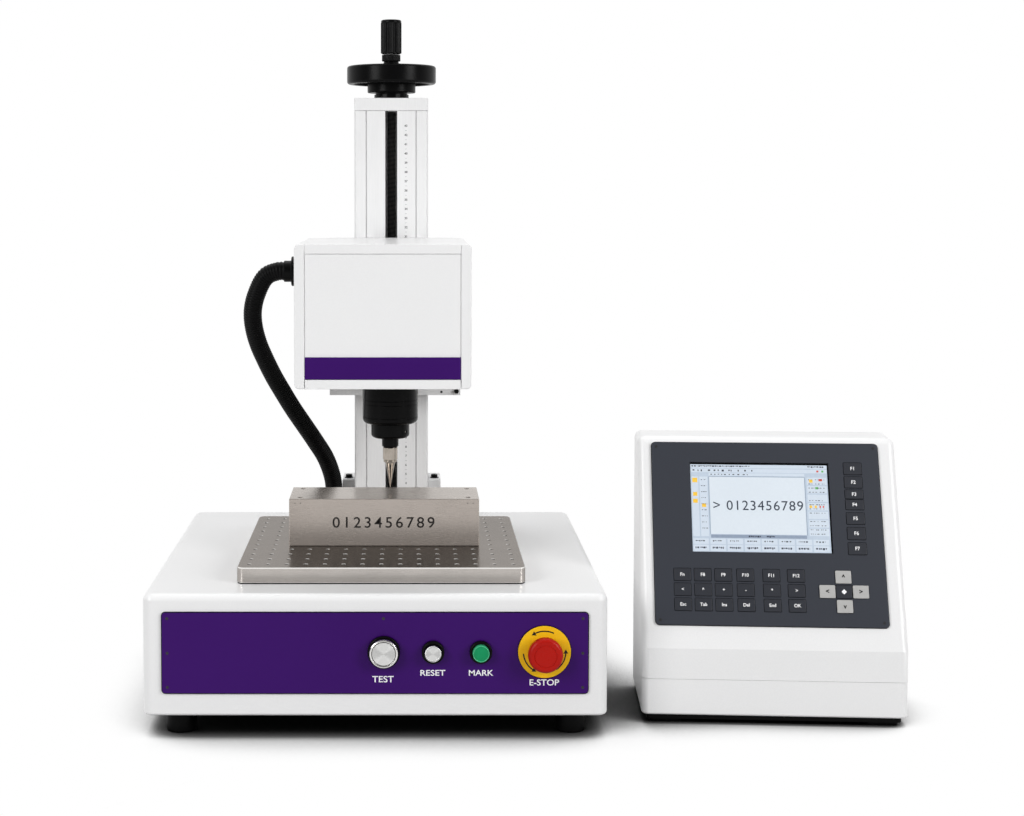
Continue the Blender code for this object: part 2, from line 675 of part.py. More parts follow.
def make_work_block(machine):
    """Steel block on the plate, with a tapped hole near each corner of its top."""
    shape = box((BLOCK_WIDTH, BLOCK_DEPTH, BLOCK_HEIGHT))
    round_edges(shape, lambda a, b: True, BLOCK_EDGE, 1)
    middle = (BLOCK_X, BLOCK_FRONT_Y + BLOCK_DEPTH / 2, BLOCK_UNDERSIDE + BLOCK_HEIGHT / 2)
    block = make_solid("work_block", shape, "steel", machine, middle)
    drills = bmesh.new()
    length = BLOCK_HOLE_DEPTH + BOOLEAN_REACH
    for side in (-1, 1):
        for end in (-1, 1):
            x = side * (BLOCK_WIDTH / 2 - BLOCK_HOLE_INSET_X)
            y = end * (BLOCK_DEPTH / 2 - BLOCK_HOLE_INSET_Y)
            bmesh.ops.create_cone(drills, cap_ends=True, segments=SMALL_SIDES,
                                  radius1=BLOCK_HOLE_RADIUS, radius2=BLOCK_HOLE_RADIUS,
                                  depth=length, matrix=Matrix.Translation((x, y, 0)))
    place = (BLOCK_X, middle[1], BLOCK_TOP - BLOCK_HOLE_DEPTH + length / 2)
    combine(block, make_solid("block_drills", drills, None, machine, place))


def column_outline():
    """Plan of the column: slot and screw chamber in front, a seam groove each side."""
    half = COLUMN_WIDTH / 2
    seam_inner = SEAM_OFFSET - SEAM_WIDTH / 2
    seam_outer = SEAM_OFFSET + SEAM_WIDTH / 2
    chamber_back = SLOT_LIP + CHAMBER_DEPTH
    right = [
        (CHAMBER_WIDTH / 2, chamber_back), (CHAMBER_WIDTH / 2, SLOT_LIP),
        (SLOT_WIDTH / 2, SLOT_LIP), (SLOT_WIDTH / 2, 0), (seam_inner, 0),
        (seam_inner, SEAM_DEPTH), (seam_outer, SEAM_DEPTH), (seam_outer, 0),
        (half - COLUMN_EDGE, 0), (half, COLUMN_EDGE), (half, COLUMN_DEPTH - COLUMN_EDGE),
        (half - COLUMN_EDGE, COLUMN_DEPTH)]
    left = [(-x, y) for x, y in reversed(right)]
    return right + left


def make_column(machine):
    """Slotted column with its cap and side brackets."""
    shape = prism(column_outline(), 0, COLUMN_TOP - COLUMN_BOTTOM, "Z")
    make_solid("column_profile", shape, "white_aluminium", machine,
               (COLUMN_X, COLUMN_FRONT_Y, COLUMN_BOTTOM))

    lid = box((COLUMN_WIDTH, COLUMN_DEPTH, CAP_HEIGHT))
    round_edges(lid, upright, COLUMN_EDGE, 2)
    middle_y = COLUMN_FRONT_Y + COLUMN_DEPTH / 2
    cap = make_solid("column_cap", lid, "white_aluminium", machine,
                     (COLUMN_X, middle_y, CAP_BOTTOM + CAP_HEIGHT / 2))
    drill = rod(SCREW_RADIUS + RUNNING_GAP, -BOOLEAN_REACH, CAP_HEIGHT + BOOLEAN_REACH, SMALL_SIDES)
    combine(cap, make_solid("cap_drill", drill, None, machine, (COLUMN_X, SCREW_Y, CAP_BOTTOM)))

    for name, side in (("left", -1), ("right", 1)):
        shape = box((BRACKET_WIDTH, BRACKET_DEPTH, BRACKET_HEIGHT))
        round_edges(shape, level_at(BRACKET_HEIGHT / 2), BRACKET_EDGE, 2)
        x = COLUMN_X + side * (COLUMN_WIDTH / 2 + CLEARANCE + BRACKET_WIDTH / 2)
        y = COLUMN_FRONT_Y + BRACKET_SETBACK + BRACKET_DEPTH / 2
        make_solid(f"column_foot_{name}", shape, "white_aluminium", machine,
                   (x, y, COLUMN_BOTTOM + BRACKET_HEIGHT / 2))


def make_lead_screw(machine):
    """Lead screw with a bearing at each end."""
    axis = (COLUMN_X, SCREW_Y)
    bore = SCREW_RADIUS + CLEARANCE
    lower = turned([(0, 0), (BEARING_BOTTOM_RADIUS, 0),
                    (BEARING_BOTTOM_RADIUS, BEARING_BOTTOM_HEIGHT),
                    (bore, BEARING_BOTTOM_HEIGHT), (bore, BEARING_FLOOR), (0, BEARING_FLOOR)],
                   SMALL_SIDES)
    make_solid("screw_bearing_bottom", lower, "black_metal", machine, (*axis, COLUMN_BOTTOM))

    upper = turned([(bore, 0), (BEARING_TOP_RADIUS, 0), (BEARING_TOP_RADIUS, BEARING_TOP_HEIGHT),
                    (bore, BEARING_TOP_HEIGHT)], MEDIUM_SIDES)
    make_solid("screw_bearing_top", upper, "black_metal", machine, (*axis, CAP_TOP + CLEARANCE))

    start = COLUMN_BOTTOM + BEARING_FLOOR + CLEARANCE
    end = WHEEL_BOTTOM + SCREW_END_DEPTH
    shape = rod(SCREW_RADIUS, 0, end - start, SMALL_SIDES)
    make_solid("lead_screw", shape, "dark_screw", machine, (*axis, start))


def make_handwheel(machine):
    """Dished handwheel on the screw."""
    bore = SCREW_RADIUS + CLEARANCE
    bore_top = SCREW_END_DEPTH + CLEARANCE
    rim_bottom = HUB_DROP
    rim_top = rim_bottom + WHEEL_RIM_HEIGHT
    web_bottom = rim_top - WHEEL_WEB
    inner = WHEEL_RADIUS - WHEEL_RIM_WALL
    quarter = math.radians(90)
    edge_centre = WHEEL_RADIUS - WHEEL_EDGE
    lower_round = fillet(edge_centre, rim_bottom + WHEEL_EDGE, WHEEL_EDGE, -quarter, 0)
    upper_round = fillet(edge_centre, rim_top - WHEEL_EDGE, WHEEL_EDGE, 0, quarter)
    boss_foot = HUB_BOSS_RADIUS + WHEEL_DISH
    profile = [(0, bore_top), (bore, bore_top), (bore, 0), (HUB_RADIUS - HUB_CHAMFER, 0),
               (HUB_RADIUS, HUB_CHAMFER), (HUB_RADIUS, web_bottom), (inner, web_bottom),
               (inner, rim_bottom)]
    profile += lower_round + upper_round
    profile += [(HUB_RADIUS, rim_top), (HUB_RADIUS - WHEEL_DISH, rim_top - WHEEL_DISH),
                (boss_foot, rim_top - WHEEL_DISH), (HUB_BOSS_RADIUS, rim_top), (0, rim_top)]
    wheel = make_solid("handwheel", turned(profile, LARGE_SIDES), "black_plastic", machine,
                       (COLUMN_X, SCREW_Y, WHEEL_BOTTOM))
    make_grip(wheel, rim_top)


def make_grip(wheel, rim_top):
    """Spindle and fluted grip that stand on the wheel's web."""
    grip_frame = make_empty("grip_frame", wheel, (0, -GRIP_OFFSET, rim_top + CLEARANCE))
    collar_bottom = GRIP_NECK_HEIGHT
    collar_top = collar_bottom + GRIP_COLLAR_HEIGHT
    spindle_top = collar_top + GRIP_LENGTH - GRIP_TOP_WALL - CLEARANCE
    spindle = turned([(0, 0), (GRIP_NECK_RADIUS, 0), (GRIP_NECK_RADIUS, collar_bottom),
                      (GRIP_COLLAR_RADIUS, collar_bottom + GRIP_COLLAR_CHAMFER),
                      (GRIP_COLLAR_RADIUS, collar_top), (GRIP_SPINDLE_RADIUS, collar_top),
                      (GRIP_SPINDLE_RADIUS, spindle_top), (0, spindle_top)], SMALL_SIDES)
    make_solid("grip_bolt", spindle, "black_metal", grip_frame)

    bore = GRIP_SPINDLE_RADIUS + CLEARANCE
    points = 2 * GRIP_FLUTES
    bm = turned([(0, GRIP_LENGTH - GRIP_TOP_WALL), (bore, GRIP_LENGTH - GRIP_TOP_WALL), (bore, 0),
                 (GRIP_RADIUS - GRIP_EDGE, 0), (GRIP_RADIUS, GRIP_EDGE),
                 (GRIP_RADIUS, GRIP_LENGTH - GRIP_EDGE),
                 (GRIP_RADIUS - GRIP_EDGE, GRIP_LENGTH), (0, GRIP_LENGTH)], points)
    for vert in bm.verts:
        around = math.atan2(vert.co.y, vert.co.x) / math.tau * points
        if math.hypot(vert.co.x, vert.co.y) > GRIP_RADIUS - SAME_PLACE and round(around) % 2:
            vert.co.xy *= (GRIP_RADIUS - GRIP_FLUTE_DEPTH) / GRIP_RADIUS
    make_solid("handwheel_grip", bm, "black_plastic", grip_frame, (0, 0, collar_top + CLEARANCE))


def make_lift_carriage(machine):
    """Plate behind the head that runs on the column, and the nut that lifts it."""
    front = HEAD_FRONT_Y + HEAD_DEPTH + CLEARANCE
    back = front + CARRIAGE_THICKNESS
    runner_back = COLUMN_FRONT_Y - CLEARANCE
    half = CARRIAGE_WIDTH / 2
    runner_inner = RUNNER_OFFSET - RUNNER_WIDTH / 2
    runner_outer = RUNNER_OFFSET + RUNNER_WIDTH / 2
    right = [(runner_inner, back), (runner_inner, runner_back), (runner_outer, runner_back),
             (runner_outer, back), (half, back), (half, front)]
    outline = right + [(-x, y) for x, y in reversed(right)]
    plate = prism(outline, CARRIAGE_BOTTOM, HEAD_TOP, "Z")
    carriage = make_solid("lift_carriage", plate, "white_aluminium", machine, (COLUMN_X, 0, 0))

    ear = box((2 * CLAMP_BLOCK, CARRIAGE_THICKNESS, CLAMP_BLOCK))
    ear_x = COLUMN_X + half
    ear_z = CARRIAGE_BOTTOM + CLAMP_BLOCK / 2
    ear = make_solid("clamp_ear", ear, None, machine, (ear_x, (front + back) / 2, ear_z))
    combine(carriage, ear, "UNION")
    hole = rod(CLAMP_HOLE_RADIUS, -BOOLEAN_REACH, CARRIAGE_THICKNESS / 2, SMALL_SIDES)
    drill = make_solid("clamp_drill", hole, None, machine, (ear_x + CLAMP_BLOCK / 2, front, ear_z),
                       TOWARDS_REAR)
    combine(carriage, drill)

    nut_low = HEAD_BOTTOM + NUT_ABOVE_HEAD_FLOOR
    nut_front = SCREW_Y - NUT_HALF_DEPTH
    nut_half = NUT_WIDTH / 2
    tongue = TONGUE_WIDTH / 2
    outline = [(-tongue, back + CLEARANCE), (tongue, back + CLEARANCE), (tongue, nut_front),
               (nut_half, nut_front), (nut_half, SCREW_Y + NUT_HALF_DEPTH),
               (-nut_half, SCREW_Y + NUT_HALF_DEPTH), (-nut_half, nut_front), (-tongue, nut_front)]
    shape = prism(outline, 0, NUT_HEIGHT, "Z")
    nut = make_solid("lift_nut", shape, "brass", machine, (COLUMN_X, 0, nut_low))
    drill = rod(SCREW_RADIUS + CLEARANCE, -BOOLEAN_REACH, NUT_HEIGHT + BOOLEAN_REACH, SMALL_SIDES)
    combine(nut, make_solid("nut_drill", drill, None, machine, (COLUMN_X, SCREW_Y, nut_low)))


def make_head_box(machine):
    """Box of the marking head: two cheeks, four plates and a coloured band."""
    height = HEAD_TOP - HEAD_BOTTOM
    middle_y = HEAD_FRONT_Y + HEAD_DEPTH / 2
    for name, side in (("left", -1), ("right", 1)):
        cheek = box((CHEEK_THICKNESS, HEAD_DEPTH, height))
        outer = side * CHEEK_THICKNESS / 2
        round_edges(cheek, lambda a, b, at=outer: same(a.x, at) and same(b.x, at),
                    HEAD_CORNER_RADIUS, 3)
        x = HEAD_X + side * (HEAD_WIDTH - CHEEK_THICKNESS) / 2
        make_solid(f"head_side_{name}", cheek, "white_paint", machine,
                   (x, middle_y, HEAD_BOTTOM + height / 2))

    half = HEAD_INNER_HALF
    front = -HEAD_DEPTH / 2
    thick = HEAD_PLATE_THICKNESS
    for name, level, outer in (("head_base_plate", HEAD_BOTTOM, -1),
                               ("head_top_plate", HEAD_CEILING, 1)):
        slab = box((2 * half, HEAD_DEPTH, thick))
        outer_z = outer * thick / 2
        round_edges(slab, lambda a, b, at=outer_z: same(a.z, at) and same(b.z, at)
                    and same(a.y, front) and same(b.y, front), HEAD_CORNER_RADIUS, 3)
        plate = make_solid(name, slab, "white_paint", machine,
                           (HEAD_X, middle_y, level + thick / 2))
        if outer < 0:
            reach = BARREL_RADIUS + WINDOW_MARGIN
            window = box((2 * (reach + X_TRAVEL), 2 * (reach + Y_TRAVEL),
                          thick + 2 * BOOLEAN_REACH))
            combine(plate, make_solid("stylus_window", window, None, machine,
                                      (STYLUS_X, STYLUS_Y, HEAD_BOTTOM + thick / 2)))

    wall_low = HEAD_FLOOR + CLEARANCE
    wall_high = HEAD_CEILING - CLEARANCE
    wall_height = wall_high - wall_low
    wall_z = (wall_low + wall_high) / 2
    panel_front = HEAD_FRONT_Y + BAND_THICKNESS + CLEARANCE
    panel = box((2 * half, HEAD_PANEL_THICKNESS, wall_height))
    make_solid("head_front_panel", panel, "white_paint", machine,
               (HEAD_X, panel_front + HEAD_PANEL_THICKNESS / 2, wall_z))
    band = box((2 * half, BAND_THICKNESS, BAND_HEIGHT))
    make_solid("head_band", band, "purple", machine,
               (HEAD_X, HEAD_FRONT_Y + BAND_THICKNESS / 2, wall_low + BAND_HEIGHT / 2))
    back = box((2 * half, HEAD_BACK_THICKNESS, wall_height))
    make_solid("head_back_plate", back, "white_aluminium", machine,
               (HEAD_X, HEAD_BACK_Y - HEAD_BACK_THICKNESS / 2, wall_z))


def make_cross_slide(machine):
    """Guide rods, the slide that runs across on them, its screw and motor."""
    length = 2 * HEAD_INNER_HALF
    bore = ROD_RADIUS + CLEARANCE
    slide = box((X_SLIDE_WIDTH, X_SLIDE_LENGTH, X_SLIDE_THICKNESS))
    slide = make_solid("x_slide", slide, "black_metal", machine, (STYLUS_X, STYLUS_Y, ROD_HEIGHT))
    for name, side in (("front", -1), ("rear", 1)):
        place = (HEAD_X - HEAD_INNER_HALF, STYLUS_Y + side * ROD_SPACING / 2, ROD_HEIGHT)
        make_solid(f"x_rod_{name}", rod(ROD_RADIUS, 0, length, SMALL_SIDES), "bright_metal",
                   machine, place, TOWARDS_RIGHT)
        drill = rod(bore, -BOOLEAN_REACH, length, SMALL_SIDES)
        combine(slide, make_solid(f"x_bore_{name}", drill, None, machine, place, TOWARDS_RIGHT))

    rail_reach = RAIL_HEIGHT + BOOLEAN_REACH
    rail = box((RAIL_WIDTH, RAIL_LENGTH, rail_reach))
    combine(slide, make_solid("y_rail", rail, None, machine,
                              (STYLUS_X, STYLUS_Y, RAIL_BOTTOM + rail_reach / 2)), "UNION")
    slide_top = ROD_HEIGHT + X_SLIDE_THICKNESS / 2
    nut_top = DRIVE_SCREW_Z + DRIVE_NUT_WALL
    nut_height = nut_top - slide_top + BOOLEAN_REACH
    nut_x = STYLUS_X + DRIVE_NUT_OFFSET
    nut = box((DRIVE_NUT_WIDTH, DRIVE_NUT_DEPTH, nut_height))
    combine(slide, make_solid("drive_nut", nut, None, machine,
                              (nut_x, STYLUS_Y, nut_top - nut_height / 2)), "UNION")
    drive_place = (nut_x, STYLUS_Y, DRIVE_SCREW_Z)
    drill = rod(DRIVE_SCREW_RADIUS + CLEARANCE, -DRIVE_NUT_WIDTH, DRIVE_NUT_WIDTH, SMALL_SIDES)
    combine(slide, make_solid("drive_bore", drill, None, machine, drive_place, TOWARDS_RIGHT))

    motor_left = HEAD_X - HEAD_INNER_HALF
    motor = box((MOTOR_LENGTH, MOTOR_SIZE, MOTOR_SIZE))
    round_edges(motor, lambda a, b: same(a.y, b.y) and same(a.z, b.z), MOTOR_CHAMFER, 1)
    make_solid("x_motor", motor, "black_metal", machine,
               (motor_left + MOTOR_LENGTH / 2, STYLUS_Y, DRIVE_SCREW_Z))
    screw_start = motor_left + MOTOR_LENGTH + CLEARANCE
    screw_end = HEAD_X + HEAD_INNER_HALF
    screw = rod(DRIVE_SCREW_RADIUS, 0, screw_end - screw_start, SMALL_SIDES)
    make_solid("x_drive_screw", screw, "bright_metal", machine,
               (screw_start, STYLUS_Y, DRIVE_SCREW_Z), TOWARDS_RIGHT)


def make_stylus(machine):
    """Block that runs along the rail, with the stylus barrel, collet and pin under it."""
    axis = (STYLUS_X, STYLUS_Y)
    half = Y_SLIDE_WIDTH / 2
    groove = RAIL_WIDTH / 2 + CLEARANCE
    low = BARREL_TOP + CLEARANCE
    floor = RAIL_BOTTOM - CLEARANCE
    top = floor + Y_SLIDE_ARM
    outline = [(-half, low), (half, low), (half, top), (groove, top), (groove, floor),
               (-groove, floor), (-groove, top), (-half, top)]
    shape = prism(outline, -Y_SLIDE_LENGTH / 2, Y_SLIDE_LENGTH / 2, "Y")
    make_solid("y_slide", shape, "black_metal", machine, (*axis, 0))

    tip = BLOCK_TOP + TIP_GAP
    cone_top = tip + CONE_LENGTH
    collet_bottom = cone_top + CLEARANCE
    collet_top = collet_bottom + COLLET_HEIGHT
    neck_bottom = collet_top + CLEARANCE
    shoulder_bottom = neck_bottom + NECK_HEIGHT
    barrel_bottom = shoulder_bottom + SHOULDER_HEIGHT
    bore = PIN_SHAFT_RADIUS + CLEARANCE
    quarter = math.radians(90)
    profile = [(bore, neck_bottom), (NECK_RADIUS, neck_bottom), (NECK_RADIUS, shoulder_bottom)]
    profile += fillet(SHOULDER_RADIUS - SHOULDER_ROUND, shoulder_bottom + SHOULDER_ROUND,
                      SHOULDER_ROUND, -quarter, 0)
    profile += [(SHOULDER_RADIUS, barrel_bottom)]
    profile += fillet(BARREL_RADIUS - BARREL_ROUND, barrel_bottom + BARREL_ROUND,
                      BARREL_ROUND, -quarter, 0)
    profile += [(BARREL_RADIUS, BARREL_TOP), (bore, BARREL_TOP)]
    make_solid("stylus_housing", turned(profile, LARGE_SIDES), "black_plastic", machine, (*axis, 0))

    collet = turned([(bore, collet_bottom), (COLLET_RADIUS - COLLET_CHAMFER, collet_bottom),
                     (COLLET_RADIUS, collet_bottom + COLLET_CHAMFER), (COLLET_RADIUS, collet_top),
                     (bore, collet_top)], MEDIUM_SIDES)
    make_solid("stylus_collet", collet, "nickel", machine, (*axis, 0))

    shaft_top = BARREL_TOP - CLEARANCE
    pin = turned([(0, tip), (TIP_RADIUS, tip + TIP_RADIUS), (CONE_RADIUS, cone_top),
                  (PIN_SHAFT_RADIUS, cone_top), (PIN_SHAFT_RADIUS, shaft_top), (0, shaft_top)],
                 MEDIUM_SIDES)
    make_solid("stylus_pin", pin, "nickel", machine, (*axis, 0))


def smooth_points(route, spacing):
    """Evenly spaced points on one smooth curve through the route."""
    points = [Vector(point) for point in route]
    fine = []
    for index, (start, end) in enumerate(zip(points, points[1:])):
        before = points[index - 1] if index else start
        after = points[index + 2] if index + 2 < len(points) else end
        reach = (end - start).length / 3
        out_way = (end - before).normalized() * reach
        in_way = (after - start).normalized() * reach
        fine += interpolate_bezier(start, start + out_way, end - in_way, end, 60)[:-1]
    fine.append(points[-1])
    total = sum((b - a).length for a, b in zip(fine, fine[1:]))
    count = round(total / spacing)
    step = total / count
    even = [fine[0]]
    carried = 0.0
    for a, b in zip(fine, fine[1:]):
        length = (b - a).length
        while carried + length >= step and len(even) < count:
            a = a.lerp(b, (step - carried) / length)
            length = (b - a).length
            carried = 0.0
            even.append(a)
        carried += length
    even.append(fine[-1])
    return even


def tube_mesh(name, points, radii, resolution):
    """Mesh of a round tube along the points, with a radius for each."""
    curve = bpy.data.curves.new(name, "CURVE")
    curve.dimensions = "3D"
    curve.bevel_depth = 1.0
    curve.bevel_resolution = resolution
    curve.use_fill_caps = True
    spline = curve.splines.new("POLY")
    spline.points.add(len(points) - 1)
    for spot, point, radius in zip(spline.points, points, radii):
        spot.co = (*point, 1)
        spot.radius = radius
    carrier = bpy.data.objects.new(name, curve)
    bpy.context.scene.collection.objects.link(carrier)
    bpy.context.view_layer.update()
    swept = carrier.evaluated_get(bpy.context.evaluated_depsgraph_get())
    bm = bmesh.new()
    bm.from_mesh(swept.to_mesh())
    swept.to_mesh_clear()
    bpy.data.objects.remove(carrier)
    bmesh.ops.remove_doubles(bm, verts=bm.verts[:], dist=MERGE_DISTANCE)
    return bm


def make_hose(machine):
    """Corrugated hose with a gland at the head and one on the base."""
    cheek_face = HEAD_X - HEAD_WIDTH / 2
    flange_face = cheek_face - CLEARANCE
    bore = HOSE_BORE_RADIUS
    sleeve_bore = HOSE_RADIUS + CLEARANCE
    sleeve_radius = sleeve_bore + HOSE_SLEEVE_WALL
    sleeve_end = HOSE_FLANGE_HEIGHT + HOSE_SLEEVE_HEIGHT
    gland = turned([(bore, 0), (HOSE_FLANGE_RADIUS, 0), (HOSE_FLANGE_RADIUS, HOSE_FLANGE_HEIGHT),
                    (sleeve_radius, HOSE_FLANGE_HEIGHT), (sleeve_radius, sleeve_end),
                    (sleeve_bore, sleeve_end), (sleeve_bore, HOSE_FLANGE_HEIGHT),
                    (bore, HOSE_FLANGE_HEIGHT)], MEDIUM_SIDES)
    make_solid("head_hose_gland", gland, "black_plastic", machine,
               (flange_face, HOSE_EXIT_Y, HOSE_EXIT_Z), TOWARDS_LEFT)
    foot_gland = turned([(bore, 0), (BASE_GLAND_RADIUS, 0),
                         (BASE_GLAND_RADIUS, BASE_GLAND_HEIGHT - BASE_GLAND_CHAMFER),
                         (BASE_GLAND_RADIUS - BASE_GLAND_CHAMFER, BASE_GLAND_HEIGHT),
                         (bore, BASE_GLAND_HEIGHT)], MEDIUM_SIDES)
    foot_z = BASE_TOP + CLEARANCE
    make_solid("base_hose_gland", foot_gland, "black_plastic", machine,
               (HOSE_FOOT_X, HOSE_FOOT_Y, foot_z))

    start = Vector((flange_face - HOSE_FLANGE_HEIGHT - CLEARANCE, HOSE_EXIT_Y, HOSE_EXIT_Z))
    end = Vector((HOSE_FOOT_X, HOSE_FOOT_Y, foot_z + BASE_GLAND_HEIGHT + CLEARANCE))
    outwards = Vector((-HOSE_STRAIGHT, 0, 0))
    upwards = Vector((0, 0, HOSE_STRAIGHT))
    route = [start, start + outwards / 2, start + outwards, *HOSE_ROUTE,
             end + upwards, end + upwards / 2, end]
    points = smooth_points(route, HOSE_RIB_PITCH / 2)
    crest = HOSE_RADIUS
    root = HOSE_RADIUS - HOSE_RIB_DEPTH
    radii = [root if index % 2 else crest for index in range(len(points))]
    ribs = tube_mesh("hose_ribs", points, radii, 2)
    hose = make_solid("hose", ribs, "rubber", machine)

    core = smooth_points(route, HOSE_RADIUS)
    core[0] = core[0] + Vector((BOOLEAN_REACH, 0, 0))
    core[-1] = core[-1] - Vector((0, 0, BOOLEAN_REACH))
    bore_tube = tube_mesh("hose_core", core, [HOSE_BORE_RADIUS] * len(core), 2)
    combine(hose, make_solid("hose_bore", bore_tube, None, machine))


def make_socket_panel(machine):
    """Panel at the rear with a mains inlet and a round connector, no cable plugged in."""
    back = BASE_DEPTH + CLEARANCE
    size = (SOCKET_PANEL_WIDTH, SOCKET_PANEL_THICKNESS, SOCKET_PANEL_HEIGHT)
    place = (SOCKET_PANEL_X, back + SOCKET_PANEL_THICKNESS / 2, PANEL_CENTRE_Z)
    panel = make_solid("rear_socket_panel", box(size), "black_plastic", machine, place)
    face = back + SOCKET_PANEL_THICKNESS
    inlet_x = SOCKET_PANEL_X - SOCKET_PANEL_WIDTH / 4
    proud = INLET_PROUD + SOCKET_PANEL_THICKNESS / 2
    inlet = box((INLET_WIDTH, proud, INLET_HEIGHT))
    inlet_place = (inlet_x, face + INLET_PROUD - proud / 2, PANEL_CENTRE_Z)
    combine(panel, make_solid("inlet_body", inlet, None, machine, inlet_place), "UNION")
    cavity = box((INLET_WIDTH - 2 * INLET_WALL, 2 * INLET_DEPTH, INLET_HEIGHT - 2 * INLET_WALL))
    combine(panel, make_solid("inlet_cavity", cavity, None, machine,
                              (inlet_x, face + INLET_PROUD, PANEL_CENTRE_Z)))
    socket_place = (SOCKET_PANEL_X + SOCKET_PANEL_WIDTH / 4, face, PANEL_CENTRE_Z)
    barrel = rod(CONNECTOR_RADIUS, -SOCKET_PANEL_THICKNESS / 2, INLET_PROUD, SMALL_SIDES)
    combine(panel, make_solid("connector_body", barrel, None, machine, socket_place, TOWARDS_REAR),
            "UNION")
    cup = rod(CONNECTOR_RADIUS - CONNECTOR_WALL, INLET_PROUD - INLET_DEPTH,
              INLET_PROUD + BOOLEAN_REACH, SMALL_SIDES)
    combine(panel, make_solid("connector_cavity", cup, None, machine, socket_place, TOWARDS_REAR))


def console_outline(bottom):
    """Side view of the controller's cover above the given height."""
    rise = CONSOLE_SLOPE_LENGTH * math.cos(CONSOLE_SLOPE)
    run = CONSOLE_SLOPE_LENGTH * math.sin(CONSOLE_SLOPE)
    top = CONSOLE_CREASE + rise
    return [(0, bottom), (0, CONSOLE_CREASE), (run, top), (CONSOLE_DEPTH, top),
            (CONSOLE_DEPTH, bottom)]


def make_console_case(console):
    """Cover, tray and rubber strips of the controller."""
    bottom = CONSOLE_SEAM + CLEARANCE / 2
    outer = prism(console_outline(bottom), 0, CONSOLE_WIDTH, "X")
    round_edges(outer, lambda a, b: not (same(a.z, bottom) and same(b.z, bottom)),
                CONSOLE_RADIUS, 3)
    cover = make_solid("console_cover", outer, "white_paint", console)
    inner_bottom = bottom - CONSOLE_WALL - BOOLEAN_REACH
    inner_outline = inset_outline(console_outline(inner_bottom), CONSOLE_WALL)
    inner = prism(inner_outline, CONSOLE_WALL, CONSOLE_WIDTH - CONSOLE_WALL, "X")
    combine(cover, make_solid("cover_hollow", inner, None, console))

    tray_top = CONSOLE_SEAM - CLEARANCE / 2
    tray_height = tray_top - CONSOLE_UNDERSIDE
    shape = box((CONSOLE_WIDTH, CONSOLE_DEPTH, tray_height))
    round_edges(shape, upright, CONSOLE_RADIUS, 3)
    round_edges(shape, level_at(-tray_height / 2), CONSOLE_WALL, 2)
    middle = (CONSOLE_WIDTH / 2, CONSOLE_DEPTH / 2, CONSOLE_UNDERSIDE + tray_height / 2)
    tray = make_solid("console_tray", shape, "white_paint", console, middle)
    hollow = box((CONSOLE_WIDTH - 2 * CONSOLE_WALL, CONSOLE_DEPTH - 2 * CONSOLE_WALL, tray_height))
    hollow_place = (middle[0], middle[1], middle[2] + CONSOLE_WALL)
    combine(tray, make_solid("tray_hollow", hollow, None, console, hollow_place))

    for name, x in (("left", CONSOLE_FOOT_INSET),
                    ("right", CONSOLE_WIDTH - CONSOLE_FOOT_INSET - CONSOLE_FOOT_WIDTH)):
        length = CONSOLE_DEPTH - 2 * CONSOLE_FOOT_INSET
        height = CONSOLE_UNDERSIDE - CLEARANCE
        strip = box((CONSOLE_FOOT_WIDTH, length, height))
        round_edges(strip, upright, CONSOLE_FOOT_INSET / 2, 2)
        make_solid(f"console_foot_{name}", strip, "rubber", console,
                   (x + CONSOLE_FOOT_WIDTH / 2, CONSOLE_DEPTH / 2, height / 2))
    return cover


